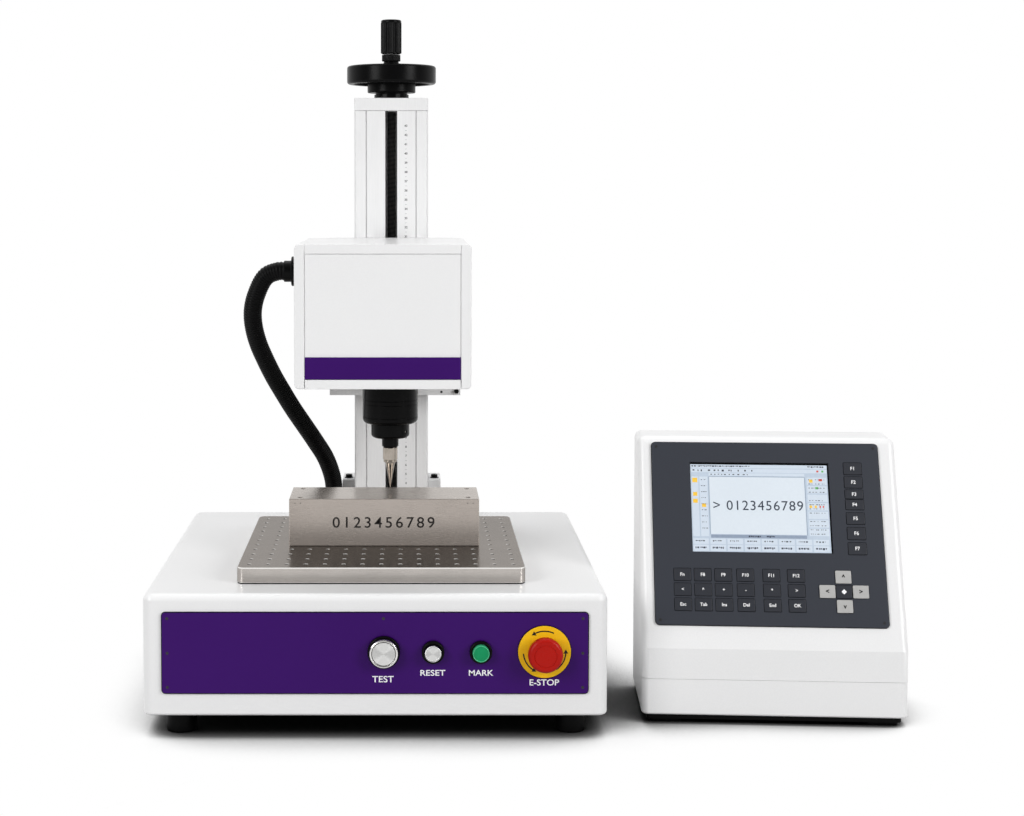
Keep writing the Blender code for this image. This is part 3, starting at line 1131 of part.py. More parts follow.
def make_keypad(console, cover):
    """Dark keypad panel, screen and arrow keys on the controller's slope."""
    lean = math.radians(90) - CONSOLE_SLOPE
    slope = make_empty("console_slope", console, (CONSOLE_WIDTH / 2, 0, CONSOLE_CREASE),
                       (lean, 0, 0))
    middle = KEYPAD_START + KEYPAD_HEIGHT / 2
    face = CLEARANCE + KEYPAD_THICKNESS
    sheet = box((KEYPAD_WIDTH, KEYPAD_HEIGHT, KEYPAD_THICKNESS))
    round_edges(sheet, upright, KEYPAD_RADIUS, 3)
    keypad = make_solid("console_keypad", sheet, "keypad", slope,
                        (KEYPAD_OFFSET_X, middle, CLEARANCE + KEYPAD_THICKNESS / 2))

    pads = bmesh.new()
    pad_height = KEY_PROUD + KEYPAD_THICKNESS / 2
    spots = [(x, KEY_FIRST_ROW + row * KEY_ROW_PITCH, KEY_WIDTH, KEY_HEIGHT)
             for x in KEY_COLUMNS for row in range(KEY_ROWS)]
    spots += [(SIDE_KEY_X, y, SIDE_KEY_WIDTH, height) for y, height in SIDE_KEY_ROWS]
    spots.append((ARROW_CENTRE_X, ARROW_CENTRE, ARROW_WIDTH, ARROW_HEIGHT))
    for x, y, width, height in spots:
        place = Matrix.Translation((x, y, face + KEY_PROUD - pad_height / 2))
        size = Matrix.Diagonal((width, height, pad_height, 1))
        bmesh.ops.create_cube(pads, size=1, matrix=place @ size)
    combine(keypad, make_solid("key_pads", pads, None, slope), "UNION")

    cut = CONSOLE_WALL + KEYPAD_THICKNESS + BOOLEAN_REACH
    opening = box((SCREEN_WIDTH, SCREEN_HEIGHT, 2 * cut))
    window = make_solid("screen_window", opening, None, slope, (SCREEN_OFFSET_X, SCREEN_CENTRE, 0))
    combine(keypad, window)
    combine(cover, window)
    screen_size = (SCREEN_WIDTH - 2 * CLEARANCE, SCREEN_HEIGHT - 2 * CLEARANCE, SCREEN_DEPTH)
    make_solid("console_screen", box(screen_size), "screen", slope,
               (SCREEN_OFFSET_X, SCREEN_CENTRE, face - SCREEN_RECESS - SCREEN_DEPTH / 2))

    arrows = (("up", 0, 1), ("down", 0, -1), ("left", -1, 0), ("right", 1, 0))
    for name, across, along in arrows:
        x = ARROW_CENTRE_X + across * ARROW_PITCH_X
        y = ARROW_CENTRE + along * ARROW_PITCH
        hole = box((ARROW_WIDTH + 2 * CLEARANCE, ARROW_HEIGHT + 2 * CLEARANCE,
                    2 * (face + BOOLEAN_REACH)))
        combine(keypad, make_solid(f"arrow_hole_{name}", hole, None, slope, (x, y, 0)))
        low = ARROW_STROKE + CLEARANCE
        high = face + ARROW_PROUD
        key = box((ARROW_WIDTH, ARROW_HEIGHT, high - low))
        round_edges(key, level_at((high - low) / 2), KEY_EDGE, 1)
        make_solid(f"arrow_key_{name}", key, "arrow_key", slope, (x, y, (low + high) / 2))


def make_console(whole):
    """Controller that stands beside the machine, turned a little towards the user."""
    console = make_empty("console_frame", whole, (BASE_WIDTH / 2 + CONSOLE_GAP, CONSOLE_FRONT_Y, 0),
                         (0, 0, CONSOLE_TURN))
    cover = make_console_case(console)
    make_keypad(console, cover)


def stand_on_origin(whole):
    """Move the set so that the middle of its footprint is the origin."""
    bpy.context.view_layer.update()
    depsgraph = bpy.context.evaluated_depsgraph_get()
    corners = []
    for solid in bpy.context.scene.objects:
        if solid.type == "MESH" and not solid.hide_render:
            shown = solid.evaluated_get(depsgraph)
            corners += [shown.matrix_world @ vert.co for vert in shown.data.vertices]
    for axis in (0, 1):
        low = min(corner[axis] for corner in corners)
        high = max(corner[axis] for corner in corners)
        whole.location[axis] -= (low + high) / 2


def build():
    """Model the whole set."""
    for old in list(bpy.data.objects):
        bpy.data.objects.remove(old)
    whole = make_empty("whole_set", None)
    housing = make_base(whole)
    make_front_panel(whole, housing)
    make_work_plate(whole)
    make_work_block(whole)
    make_column(whole)
    make_lead_screw(whole)
    make_handwheel(whole)
    make_lift_carriage(whole)
    make_head_box(whole)
    make_cross_slide(whole)
    make_stylus(whole)
    make_hose(whole)
    make_socket_panel(whole)
    make_console(whole)
    stand_on_origin(whole)


build()
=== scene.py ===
"""Dressed model of a nameplate marking machine and its controller.

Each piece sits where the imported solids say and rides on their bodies. Metres, +Z up,
the front faces -Y.
"""
import math
import random

import bmesh
import bpy
from mathutils import Matrix, Vector
from mathutils.geometry import interpolate_bezier


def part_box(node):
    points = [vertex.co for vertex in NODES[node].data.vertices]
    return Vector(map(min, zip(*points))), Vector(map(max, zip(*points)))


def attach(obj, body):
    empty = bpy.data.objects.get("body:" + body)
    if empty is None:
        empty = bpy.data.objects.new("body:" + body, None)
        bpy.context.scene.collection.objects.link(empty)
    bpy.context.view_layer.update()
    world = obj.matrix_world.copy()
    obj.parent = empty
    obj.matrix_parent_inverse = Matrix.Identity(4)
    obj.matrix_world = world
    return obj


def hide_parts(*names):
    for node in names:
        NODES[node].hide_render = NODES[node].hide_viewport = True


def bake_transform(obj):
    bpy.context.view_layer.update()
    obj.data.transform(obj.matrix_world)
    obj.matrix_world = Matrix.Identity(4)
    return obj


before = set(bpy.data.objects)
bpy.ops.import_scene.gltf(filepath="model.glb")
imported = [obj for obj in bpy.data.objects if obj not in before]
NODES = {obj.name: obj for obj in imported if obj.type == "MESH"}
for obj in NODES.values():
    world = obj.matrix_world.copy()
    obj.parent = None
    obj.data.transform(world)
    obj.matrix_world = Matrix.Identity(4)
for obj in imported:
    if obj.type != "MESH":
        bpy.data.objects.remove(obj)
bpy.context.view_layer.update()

HOUSING_LOW, HOUSING_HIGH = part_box("base_housing")
MIDDLE_X = (HOUSING_LOW.x + HOUSING_HIGH.x) / 2
FRONT_Y = HOUSING_LOW.y
MM = 0.001
FORWARDS = Vector((0, -1, 0))
BACKWARDS = Vector((0, 1, 0))
LEFTWARDS = Vector((-1, 0, 0))
UPWARDS = Vector((0, 0, 1))


def spot(x, y, z):
    """Point in millimetres from the middle of the housing's front, at floor level."""
    return Vector((MIDDLE_X + x * MM, FRONT_Y + y * MM, z * MM))


def middle(node):
    """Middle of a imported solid."""
    low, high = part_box(node)
    return (low + high) / 2


# Camera
CAMERA_PLACE = spot(29.8, -1544.4, 512.3)
CAMERA_PITCH = math.radians(87)
FOCAL_LENGTH = 59.68
SHIFT_ACROSS = 0.1022
SHIFT_UP = -0.1313


def set_camera():
    """Camera at the photograph's viewing angle."""
    lens = bpy.data.cameras.new("camera")
    lens.lens = FOCAL_LENGTH
    lens.shift_x = SHIFT_ACROSS
    lens.shift_y = SHIFT_UP
    camera = bpy.data.objects.new("camera", lens)
    bpy.context.scene.collection.objects.link(camera)
    camera.location = CAMERA_PLACE
    camera.rotation_euler = (CAMERA_PITCH, 0, 0)
    bpy.context.scene.camera = camera


# Shader groups and materials
MIX_FACTOR, MIX_A, MIX_B, MIX_RESULT = 0, 6, 7, 2


def add_node(tree, kind, feeds=(), **settings):
    """Add a shader node. A feed is a socket to link or a value to set."""
    made = tree.nodes.new("ShaderNode" + kind)
    for name, value in settings.items():
        setattr(made, name, value)
    for key, feed in dict(feeds).items():
        if isinstance(feed, bpy.types.NodeSocket):
            tree.links.new(feed, made.inputs[key])
        else:
            made.inputs[key].default_value = feed
    return made


def start_group(name, inputs, outputs):
    """New shader group with its named sockets. Gives the group, its entry and its exit."""
    group = bpy.data.node_groups.new(name, "ShaderNodeTree")
    for label, kind in inputs:
        group.interface.new_socket(name=label, in_out="INPUT", socket_type="NodeSocket" + kind)
    for label, kind in outputs:
        group.interface.new_socket(name=label, in_out="OUTPUT", socket_type="NodeSocket" + kind)
    return group, group.nodes.new("NodeGroupInput").outputs, group.nodes.new("NodeGroupOutput").inputs


def make_finish_group():
    """Patches of tone over a fine grain that may be stretched one way."""
    group, given, result = start_group(
        "finish",
        [("Colour", "Color"), ("Patch Colour", "Color"), ("Patch Scale", "Float"),
         ("Grain Stretch", "Vector"), ("Grain Scale", "Float"), ("Smooth", "Float"),
         ("Rough", "Float"), ("Grain Depth", "Float")],
        [("Colour", "Color"), ("Roughness", "Float"), ("Normal", "Vector")])
    place = add_node(group, "TexCoord").outputs["Object"]
    stretched = add_node(group, "Mapping", {"Vector": place, "Scale": given["Grain Stretch"]})
    grain = add_node(group, "TexNoise", {
        "Vector": stretched.outputs["Vector"], "Scale": given["Grain Scale"], "Detail": 4.0})
    patches = add_node(group, "TexNoise", {
        "Vector": place, "Scale": given["Patch Scale"], "Detail": 3.0})
    both = add_node(group, "Math", {0: grain.outputs["Fac"], 1: patches.outputs["Fac"]},
                    operation="MULTIPLY")
    spread = add_node(group, "MapRange", {"Value": both.outputs[0], "From Min": 0.12,
                                          "From Max": 0.42})
    tone = add_node(group, "Mix", {MIX_FACTOR: spread.outputs["Result"], MIX_A: given["Colour"],
                                   MIX_B: given["Patch Colour"]}, data_type="RGBA")
    rough = add_node(group, "MapRange", {"Value": both.outputs[0], "From Min": 0.12,
                                         "From Max": 0.42, "To Min": given["Smooth"],
                                         "To Max": given["Rough"]})
    bump = add_node(group, "Bump", {"Height": grain.outputs["Fac"], "Distance": given["Grain Depth"],
                                    "Strength": 1.0})
    group.links.new(tone.outputs[MIX_RESULT], result["Colour"])
    group.links.new(rough.outputs["Result"], result["Roughness"])
    group.links.new(bump.outputs["Normal"], result["Normal"])
    return group


def make_turned_group():
    """Fine rings about an upright axis through the mapped centre."""
    group, given, result = start_group(
        "turning_rings",
        [("Position", "Vector"), ("Ring Pitch", "Float"), ("Ring Depth", "Float"),
         ("Colour", "Color"), ("Groove Colour", "Color")],
        [("Colour", "Color"), ("Normal", "Vector")])
    parts = add_node(group, "SeparateXYZ", {"Vector": given["Position"]})
    flat = add_node(group, "CombineXYZ", {"X": parts.outputs["X"], "Y": parts.outputs["Y"]})
    reach = add_node(group, "VectorMath", {0: flat.outputs["Vector"]}, operation="LENGTH")
    count = add_node(group, "Math", {0: reach.outputs["Value"], 1: given["Ring Pitch"]},
                     operation="DIVIDE")
    rings = add_node(group, "TexNoise", {"W": count.outputs[0], "Scale": 1.0, "Detail": 3.0},
                     noise_dimensions="1D")
    tone = add_node(group, "Mix", {MIX_FACTOR: rings.outputs["Fac"], MIX_A: given["Colour"],
                                   MIX_B: given["Groove Colour"]}, data_type="RGBA")
    bump = add_node(group, "Bump", {"Height": rings.outputs["Fac"], "Distance": given["Ring Depth"],
                                    "Strength": 1.0})
    group.links.new(tone.outputs[MIX_RESULT], result["Colour"])
    group.links.new(bump.outputs["Normal"], result["Normal"])
    return group


FINISH_GROUP = make_finish_group()
TURNED_GROUP = make_turned_group()


def make_material(name, colour, patch, roughness, patch_scale=6.0, grain_scale=900.0,
                  grain_depth=0.00001, stretch=(1, 1, 1), **shader_values):
    """Material of one finish: two tones, a range of roughness and a fine grain."""
    made = bpy.data.materials.new(name)
    made.use_nodes = True
    shader = made.node_tree.nodes["Principled BSDF"]
    look = add_node(made.node_tree, "Group", node_tree=FINISH_GROUP)
    values = {"Colour": (*colour, 1), "Patch Colour": (*patch, 1), "Patch Scale": patch_scale,
              "Grain Stretch": stretch, "Grain Scale": grain_scale, "Smooth": roughness[0],
              "Rough": roughness[1], "Grain Depth": grain_depth}
    for label, value in values.items():
        look.inputs[label].default_value = value
    made.node_tree.links.new(look.outputs["Colour"], shader.inputs["Base Color"])
    made.node_tree.links.new(look.outputs["Roughness"], shader.inputs["Roughness"])
    made.node_tree.links.new(look.outputs["Normal"], shader.inputs["Normal"])
    for label, value in shader_values.items():
        shader.inputs[label.replace("_", " ")].default_value = value
    return made


def make_turned_metal(name, centre, colour, groove, roughness):
    """Machined face with fine rings about an axis that points to the front."""
    made = bpy.data.materials.new(name)
    made.use_nodes = True
    tree = made.node_tree
    shader = tree.nodes["Principled BSDF"]
    shader.inputs["Metallic"].default_value = 1.0
    shader.inputs["Roughness"].default_value = roughness
    shader.inputs["Anisotropic"].default_value = 0.92
    place = add_node(tree, "TexCoord").outputs["Object"]
    centred = add_node(tree, "Mapping", {"Vector": place, "Location": -centre})
    upright = add_node(tree, "Mapping", {"Vector": centred.outputs["Vector"],
                                         "Rotation": (math.radians(90), 0, 0)})
    rings = add_node(tree, "Group", node_tree=TURNED_GROUP)
    rings.inputs["Ring Pitch"].default_value = 0.0002
    rings.inputs["Ring Depth"].default_value = 0.00002
    rings.inputs["Colour"].default_value = (*colour, 1)
    rings.inputs["Groove Colour"].default_value = (*groove, 1)
    tree.links.new(upright.outputs["Vector"], rings.inputs["Position"])
    around = add_node(tree, "Tangent", direction_type="RADIAL", axis="Y")
    tree.links.new(rings.outputs["Colour"], shader.inputs["Base Color"])
    tree.links.new(rings.outputs["Normal"], shader.inputs["Normal"])
    tree.links.new(around.outputs["Tangent"], shader.inputs["Tangent"])
    return made


DEEP_BLACK = (0.0018, 0.0018, 0.0019)
WORN_BLACK = (0.0030, 0.0030, 0.0032)
WHITE_ENAMEL = make_material("white_enamel", (0.87, 0.87, 0.872), (0.84, 0.84, 0.843), (0.28, 0.36),
                             patch_scale=3.0, grain_scale=700.0, grain_depth=0.000005)
WHITE_COATING = make_material("white_coated_aluminium", (0.84, 0.84, 0.842), (0.79, 0.79, 0.793),
                              (0.36, 0.46), patch_scale=14.0, stretch=(1, 1, 0.04))
PURPLE_ENAMEL = make_material("purple_enamel", (0.040, 0.0028, 0.128), (0.036, 0.0022, 0.116),
                              (0.30, 0.36), patch_scale=9.0, grain_scale=1100.0,
                              grain_depth=0.000004, Specular_IOR_Level=0.14)
PLATE_STEEL = make_material("ground_plate_steel", (0.53, 0.495, 0.465), (0.47, 0.44, 0.412),
                            (0.19, 0.25), patch_scale=30.0, grain_scale=1500.0,
                            grain_depth=0.0000006, stretch=(0.05, 1, 1), Metallic=0.94,
                            Specular_Tint=(0.42, 0.41, 0.40, 1))
BLOCK_STEEL = make_material("ground_block_steel", (0.47, 0.42, 0.382), (0.425, 0.38, 0.345),
                            (0.24, 0.30), patch_scale=18.0, grain_scale=1500.0,
                            grain_depth=0.0000004, stretch=(0.05, 1, 1), Metallic=0.62,
                            Specular_Tint=(0.96, 0.95, 0.93, 1))
MACHINED_METAL = make_material("machined_metal", (0.78, 0.77, 0.75), (0.66, 0.65, 0.63), (0.18, 0.28),
                               patch_scale=60.0, grain_scale=1500.0, grain_depth=0.000003,
                               stretch=(0.1, 1, 1), Metallic=1.0)
NICKEL = make_material("nickel", (0.43, 0.385, 0.335), (0.30, 0.265, 0.228), (0.05, 0.09),
                       patch_scale=90.0, grain_scale=1500.0, grain_depth=0.000002,
                       stretch=(1, 1, 0.08), Metallic=1.0)
BLACK_PLASTIC = make_material("black_plastic", DEEP_BLACK, WORN_BLACK,
                              (0.26, 0.34), patch_scale=40.0, grain_scale=1800.0,
                              grain_depth=0.000005, Specular_IOR_Level=0.08)
BLACK_METAL = make_material("black_metal", DEEP_BLACK, WORN_BLACK,
                            (0.22, 0.30), patch_scale=50.0, grain_scale=1400.0,
                            grain_depth=0.000003, stretch=(1, 1, 6), Specular_IOR_Level=0.08)
BLACK_RUBBER = make_material("black_rubber", DEEP_BLACK, WORN_BLACK,
                             (0.34, 0.46), patch_scale=60.0, grain_scale=1500.0,
                             Specular_IOR_Level=0.08)
OILED_STEEL = make_material("oiled_steel", (0.040, 0.040, 0.042), (0.028, 0.028, 0.030),
                            (0.34, 0.50), patch_scale=70.0, grain_scale=1300.0,
                            grain_depth=0.000008, Metallic=0.5)
PLAIN_BRASS = make_material("plain_brass", (0.58, 0.40, 0.15), (0.46, 0.30, 0.10), (0.26, 0.38),
                            patch_scale=60.0, grain_scale=800.0, grain_depth=0.000004,
                            Metallic=1.0)
RED_PLASTIC = make_material("red_plastic", (0.46, 0.008, 0.003), (0.40, 0.006, 0.003),
                            (0.26, 0.34), patch_scale=60.0, grain_scale=1600.0,
                            grain_depth=0.000003, Specular_IOR_Level=0.16)
YELLOW_PLASTIC = make_material("yellow_plastic", (0.94, 0.56, 0.010), (0.88, 0.48, 0.008),
                               (0.34, 0.44), patch_scale=60.0, grain_scale=1600.0,
                               grain_depth=0.000004, Specular_IOR_Level=0.2)
GREEN_CAP = make_material("green_cap", (0.0, 0.29, 0.105), (0.0, 0.24, 0.085), (0.12, 0.18),
                          patch_scale=120.0, grain_scale=2600.0, grain_depth=0.000004,
                          Specular_IOR_Level=0.2)
GREEN_RIM = make_material("green_rim", (0.06, 0.50, 0.24), (0.05, 0.43, 0.20), (0.16, 0.24),
                          patch_scale=120.0, grain_scale=2600.0, grain_depth=0.000004,
                          Specular_IOR_Level=0.3)
KEYPAD_FILM = make_material("keypad_film", (0.038, 0.042, 0.054), (0.033, 0.037, 0.048),
                            (0.40, 0.52), patch_scale=16.0, grain_scale=3000.0,
                            grain_depth=0.000008, Specular_IOR_Level=0.30)
KEY_TOP = make_material("key_top", (0.030, 0.033, 0.042), (0.026, 0.028, 0.036), (0.36, 0.46),
                        patch_scale=50.0, grain_scale=2600.0, grain_depth=0.000008,
                        Specular_IOR_Level=0.35)
ARROW_KEY = make_material("arrow_key_plastic", (0.46, 0.455, 0.445), (0.41, 0.406, 0.398),
                          (0.42, 0.54), patch_scale=90.0, grain_scale=2400.0)
WHITE_PRINT = make_material("white_print", (0.95, 0.95, 0.96), (0.90, 0.90, 0.91), (0.4, 0.5))
# Black that lines the plate's holes: painted shade.
PAINTED_HOLE_SHADE = make_material("painted_hole_shade", (0.012, 0.011, 0.010), (0.016, 0.015, 0.014), (0.6, 0.7),
                          Specular_IOR_Level=0.1)
BLACK_PRINT = make_material("black_print", (0.010, 0.009, 0.008), (0.016, 0.014, 0.013), (0.4, 0.5),
                            Specular_IOR_Level=0.2)
GREY_PRINT = make_material("grey_print", (0.020, 0.020, 0.021), (0.04, 0.04, 0.042), (0.4, 0.5))


# Modelling helpers
def deselect():
    """Leave nothing selected."""
    bpy.ops.object.select_all(action="DESELECT")


def select_only(*pieces):
    """Select these pieces, the first one active."""
    deselect()
    for piece in pieces:
        piece.select_set(True)
    bpy.context.view_layer.objects.active = pieces[0]


def edit(piece, mode):
    """Enter edit mode with nothing selected."""
    select_only(piece)
    bpy.ops.object.mode_set(mode="EDIT")
    bpy.ops.mesh.select_mode(type=mode)
    bpy.ops.mesh.select_all(action="DESELECT")


def leave_edit():
    """Back to object mode."""
    bpy.ops.object.mode_set(mode="OBJECT")


def pick(piece, kind, test):
    """Select the mesh parts whose corners all pass the test."""
    mesh = bmesh.from_edit_mesh(piece.data)
    for part in getattr(mesh, kind):
        part.select_set(test([corner.co for corner in part.verts]))
    bmesh.update_edit_mesh(piece.data)


def near(a, b):
    """True where two measures agree."""
    return abs(a - b) < 0.02 * MM


def along(axis):
    """A test for edges that run along X, Y or Z."""
    others = [number for number in range(3) if number != "XYZ".index(axis)]
    return lambda ends: all(near(ends[0][number], ends[1][number]) for number in others)


def at_level(axis, level):
    """A test for edges or faces that lie at one level of an axis."""
    number = "XYZ".index(axis)
    return lambda ends: all(near(end[number], level) for end in ends)


def bevel_edges(piece, test, radius, segments):
    """Round the picked edges."""
    edit(piece, "EDGE")
    pick(piece, "edges", test)
    bpy.ops.mesh.bevel(offset=radius, segments=segments, profile=0.5, affect="EDGES",
                       clamp_overlap=True)
    leave_edit()


def remove_faces(piece, test):
    """Open a piece by deleting the picked faces."""
    edit(piece, "FACE")
    pick(piece, "faces", test)
    bpy.ops.mesh.delete(type="FACE")
    leave_edit()


def box_piece(name, low, high, *rounds):
    """A box between two corners, its edges rounded in turn: (test, radius, segments)."""
    low, high = Vector(low), Vector(high)
    deselect()
    bpy.ops.mesh.primitive_cube_add(size=1, location=(low + high) / 2)
    piece = bpy.context.active_object
    piece.name = name
    piece.scale = high - low
    bpy.ops.object.transform_apply(location=True, rotation=True, scale=True)
    for test, radius, segments in rounds:
        bevel_edges(piece, test, radius, segments)
    return piece


def apply_modifier(piece, kind, **settings):
    """Add a modifier with these settings and apply it."""
    change = piece.modifiers.new(kind.lower(), kind)
    for name, value in settings.items():
        setattr(change, name, value)
    select_only(piece)
    bpy.ops.object.modifier_apply(modifier=change.name)


def soften(piece, radius, segments=2, angle=30):
    """Small round on every sharp edge."""
    apply_modifier(piece, "BEVEL", width=radius, segments=segments, limit_method="ANGLE",
                   angle_limit=math.radians(angle), harden_normals=False)


def cut(piece, tool, operation="DIFFERENCE"):
    """Cut or join a tool, and remove it."""
    apply_modifier(piece, "BOOLEAN", object=tool, operation=operation, solver="EXACT")
    bpy.data.objects.remove(tool)


def stand(piece, place, towards):
    """Turn a piece that was made about +Z towards a direction, and put it in place."""
    turn = UPWARDS.rotation_difference(Vector(towards)).to_matrix().to_4x4()
    piece.data.transform(Matrix.Translation(place) @ turn)
    return piece


def round_corner(radius, height, size, start, end, steps=5):
    """Points of a rounded stretch of a turned outline, angles in degrees."""
    points = []
    for step in range(steps + 1):
        angle = math.radians(start + (end - start) * step / steps)
        points.append((radius + size * math.cos(angle), height + size * math.sin(angle)))
    return points


def turned_piece(name, profile, place, towards, sides=96, edge=0.0):
    """Spin an outline of (radius, height) points in millimetres about an axis."""
    deselect()
    bpy.ops.mesh.primitive_plane_add(size=1)
    piece = bpy.context.active_object
    piece.name = name
    edit(piece, "VERT")
    bpy.ops.mesh.select_all(action="SELECT")
    bpy.ops.mesh.merge(type="CENTER")
    outline = [Vector((radius * MM, 0, height * MM)) for radius, height in profile]
    if profile[0][0] > 0:
        outline.append(outline[0])
    bpy.ops.transform.translate(value=outline[0])
    for before, after in zip(outline, outline[1:]):
        bpy.ops.mesh.extrude_vertices_move(TRANSFORM_OT_translate={"value": after - before})
    bpy.ops.mesh.select_all(action="SELECT")
    bpy.ops.mesh.spin(steps=sides, angle=math.tau, center=(0, 0, 0), axis=(0, 0, 1))
    bpy.ops.mesh.select_all(action="SELECT")
    bpy.ops.mesh.remove_doubles(threshold=0.002 * MM)
    bpy.ops.mesh.normals_make_consistent(inside=False)
    leave_edit()
    if edge:
        soften(piece, edge * MM)
    return stand(piece, place, towards)


def copies(name, source, moves):
    """Copy a piece by each matrix and join the copies into one piece."""
    made = []
    for move in moves:
        copy = source.copy()
        copy.data = source.data.copy()
        copy.data.transform(move)
        bpy.context.scene.collection.objects.link(copy)
        made.append(copy)
    bpy.data.objects.remove(source)
    select_only(*made)
    if len(made) > 1:
        bpy.ops.object.join()
    made[0].name = name
    return made[0]


def join(name, pieces):
    """Join several pieces into one."""
    select_only(*pieces)
    if len(pieces) > 1:
        bpy.ops.object.join()
    pieces[0].name = name
    return pieces[0]


def dress(piece, body, slot, surface, *nodes, angle=35, weighted=True):
    """Shade a finished piece, give it its material and let it ride on its body."""
    select_only(piece)
    bpy.ops.object.shade_smooth_by_angle(angle=math.radians(angle))
    if weighted:
        apply_modifier(piece, "WEIGHTED_NORMAL", keep_sharp=True)
    piece.data.materials.clear()
    piece.data.materials.append(surface)
    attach(piece, body)
    if nodes:
        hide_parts(*nodes)
    return piece


CAPITAL_SHARE = 0.7


def lettering(name, words, height, move, body, slot, surface, depth=0.05, spacing=1.0, bold=0.0):
    """Words on a face: a matrix takes them from the XY plane to their place."""
    deselect()
    bpy.ops.object.text_add()
    text = bpy.context.active_object
    text.name = name
    text.data.body = words
    text.data.size = height * MM / CAPITAL_SHARE
    text.data.align_x = "CENTER"
    text.data.align_y = "CENTER"
    text.data.extrude = depth * MM
    text.data.space_character = spacing
    text.data.offset = bold * MM
    text.data.resolution_u = 4
    bpy.ops.object.convert(target="MESH")
    text = bpy.context.active_object
    text.data.transform(move)
    return dress(text, body, slot, surface, weighted=False)


def facing_front(place, scale_x=1.0):
    """Matrix that stands the XY plane upright, facing the front."""
    turn = Matrix.Rotation(math.radians(90), 4, "X")
    return Matrix.Translation(place) @ turn @ Matrix.Diagonal((scale_x, 1, 1, 1))


def socket_screw(name, radius, height, socket, place, towards):
    """Cap screw with a hexagon socket, standing on its place."""
    head = turned_piece(name, [(0, 0), (radius, 0), (radius, height * 0.85),
                               (radius * 0.9, height), (0, height)], (0, 0, 0), UPWARDS, sides=40)
    deselect()
    bpy.ops.mesh.primitive_cylinder_add(vertices=6, radius=socket * MM, depth=height * MM,
                                        location=(0, 0, height * MM))
    cut(head, bpy.context.active_object)
    return stand(head, place, towards)


def flat_screw(name, radius, place, towards, proud=0.35):
    """Low screw head with a cross recess, standing a little proud."""
    head = turned_piece(name, [(0, -0.4), (radius, -0.4), (radius, proud * 0.4),
                               (radius * 0.72, proud), (0, proud)], (0, 0, 0), UPWARDS, sides=32)
    for turn in (0, 90):
        deselect()
        bpy.ops.mesh.primitive_cube_add(size=1, location=(0, 0, proud * MM))
        slot = bpy.context.active_object
        slot.scale = (radius * 1.15 * MM, radius * 0.3 * MM, proud * 1.4 * MM)
        slot.rotation_euler = (0, 0, math.radians(turn))
        bpy.ops.object.transform_apply(location=True, rotation=True, scale=True)
        cut(head, slot)
    return stand(head, place, towards)


set_camera()

# Hose
HOSE_RADIUS = 9.45
HOSE_STRAIGHT = 19.0
RIB_PITCH = 2.6
RIB_DEPTH = 0.75
POINTS_PER_RIB = 6
STEPS_PER_STRETCH = 60
CUFF_REACH = 2.3
HOSE_EXIT = spot(-79.4, 165, 425)
HOSE_FOOT = spot(-51, 307, 148.1)
HOSE_ROUTE = (
    (-113.3, 167.5, 419.3), (-123.2, 172, 400.9), (-127.4, 178, 383.9), (-127.0, 186, 366.5),
    (-123.3, 195, 348.9), (-117.0, 205, 331.2), (-109.5, 216, 313.0), (-100.6, 228, 294.6),
    (-91.0, 240, 275.9), (-80.2, 253, 256.9), (-69.3, 266, 237.7), (-59.1, 280, 217.9),
    (-53.0, 293, 198.4), (-50.8, 302, 182.8))


def smooth_points(route, count_of):
    """Evenly spaced points on one smooth curve through the route."""
    fine = []
    for index, (start, end) in enumerate(zip(route, route[1:])):
        before = route[index - 1] if index else start
        after = route[index + 2] if index + 2 < len(route) else end
        reach = (end - start).length / 3
        way_out = (end - before).normalized() * reach
        way_in = (after - start).normalized() * reach
        fine += interpolate_bezier(start, start + way_out, end - way_in, end, STEPS_PER_STRETCH)[:-1]
    fine.append(route[-1])
    total = sum((b - a).length for a, b in zip(fine, fine[1:]))
    count = count_of(total)
    step = total / count
    even = [fine[0]]
    carried = 0.0
    for a, b in zip(fine, fine[1:]):
        length = (b - a).length
        while carried + length >= step and len(even) < count:
            a = a.lerp(b, (step - carried) / length)
            length = (b - a).length
            carried = 0.0
            even.append(a)
        carried += length
    even.append(fine[-1])
    return even, total


def hose_steps(length):
    """How many points the hose needs for its ribs."""
    return round(length / (RIB_PITCH * MM)) * POINTS_PER_RIB


def make_hose():
    """Corrugated hose from the head's side down to the housing's rear."""
    face_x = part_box("head_hose_gland")[1].x - CUFF_REACH * MM
    start = Vector((face_x, HOSE_EXIT.y, HOSE_EXIT.z))
    outwards = LEFTWARDS * HOSE_STRAIGHT * MM
    upwards = UPWARDS * HOSE_STRAIGHT * MM
    route = [start, start + outwards / 2, start + outwards]
    route += [spot(*point) for point in HOSE_ROUTE]
    route += [HOSE_FOOT + upwards, HOSE_FOOT + upwards / 2, HOSE_FOOT]
    points, length = smooth_points(route, hose_steps)
    tube = bpy.data.curves.new("hose_tube", "CURVE")
    tube.dimensions = "3D"
    tube.bevel_depth = 1.0
    tube.bevel_resolution = 7
    tube.use_fill_caps = True
    spline = tube.splines.new("POLY")
    spline.points.add(len(points) - 1)
    for number, (corner, point) in enumerate(zip(spline.points, points)):
        wave = abs(math.cos(math.pi * number / POINTS_PER_RIB)) ** 0.7
        corner.co = (*point, 1)
        corner.radius = (HOSE_RADIUS - RIB_DEPTH * (1 - wave)) * MM
    hose = bpy.data.objects.new("hose_tube", tube)
    bpy.context.scene.collection.objects.link(hose)
    select_only(hose)
    bpy.ops.object.convert(target="MESH")
    hose = bpy.context.active_object
    hose.name = "corrugated_hose"
    edit(hose, "VERT")
    bpy.ops.mesh.select_all(action="SELECT")
    bpy.ops.mesh.remove_doubles(threshold=0.001 * MM)
    bpy.ops.mesh.normals_make_consistent(inside=False)
    leave_edit()
    hose.data.shade_smooth()
    hose.data.materials.append(BLACK_RUBBER)
    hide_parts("hose")
    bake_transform(hose)


make_hose()


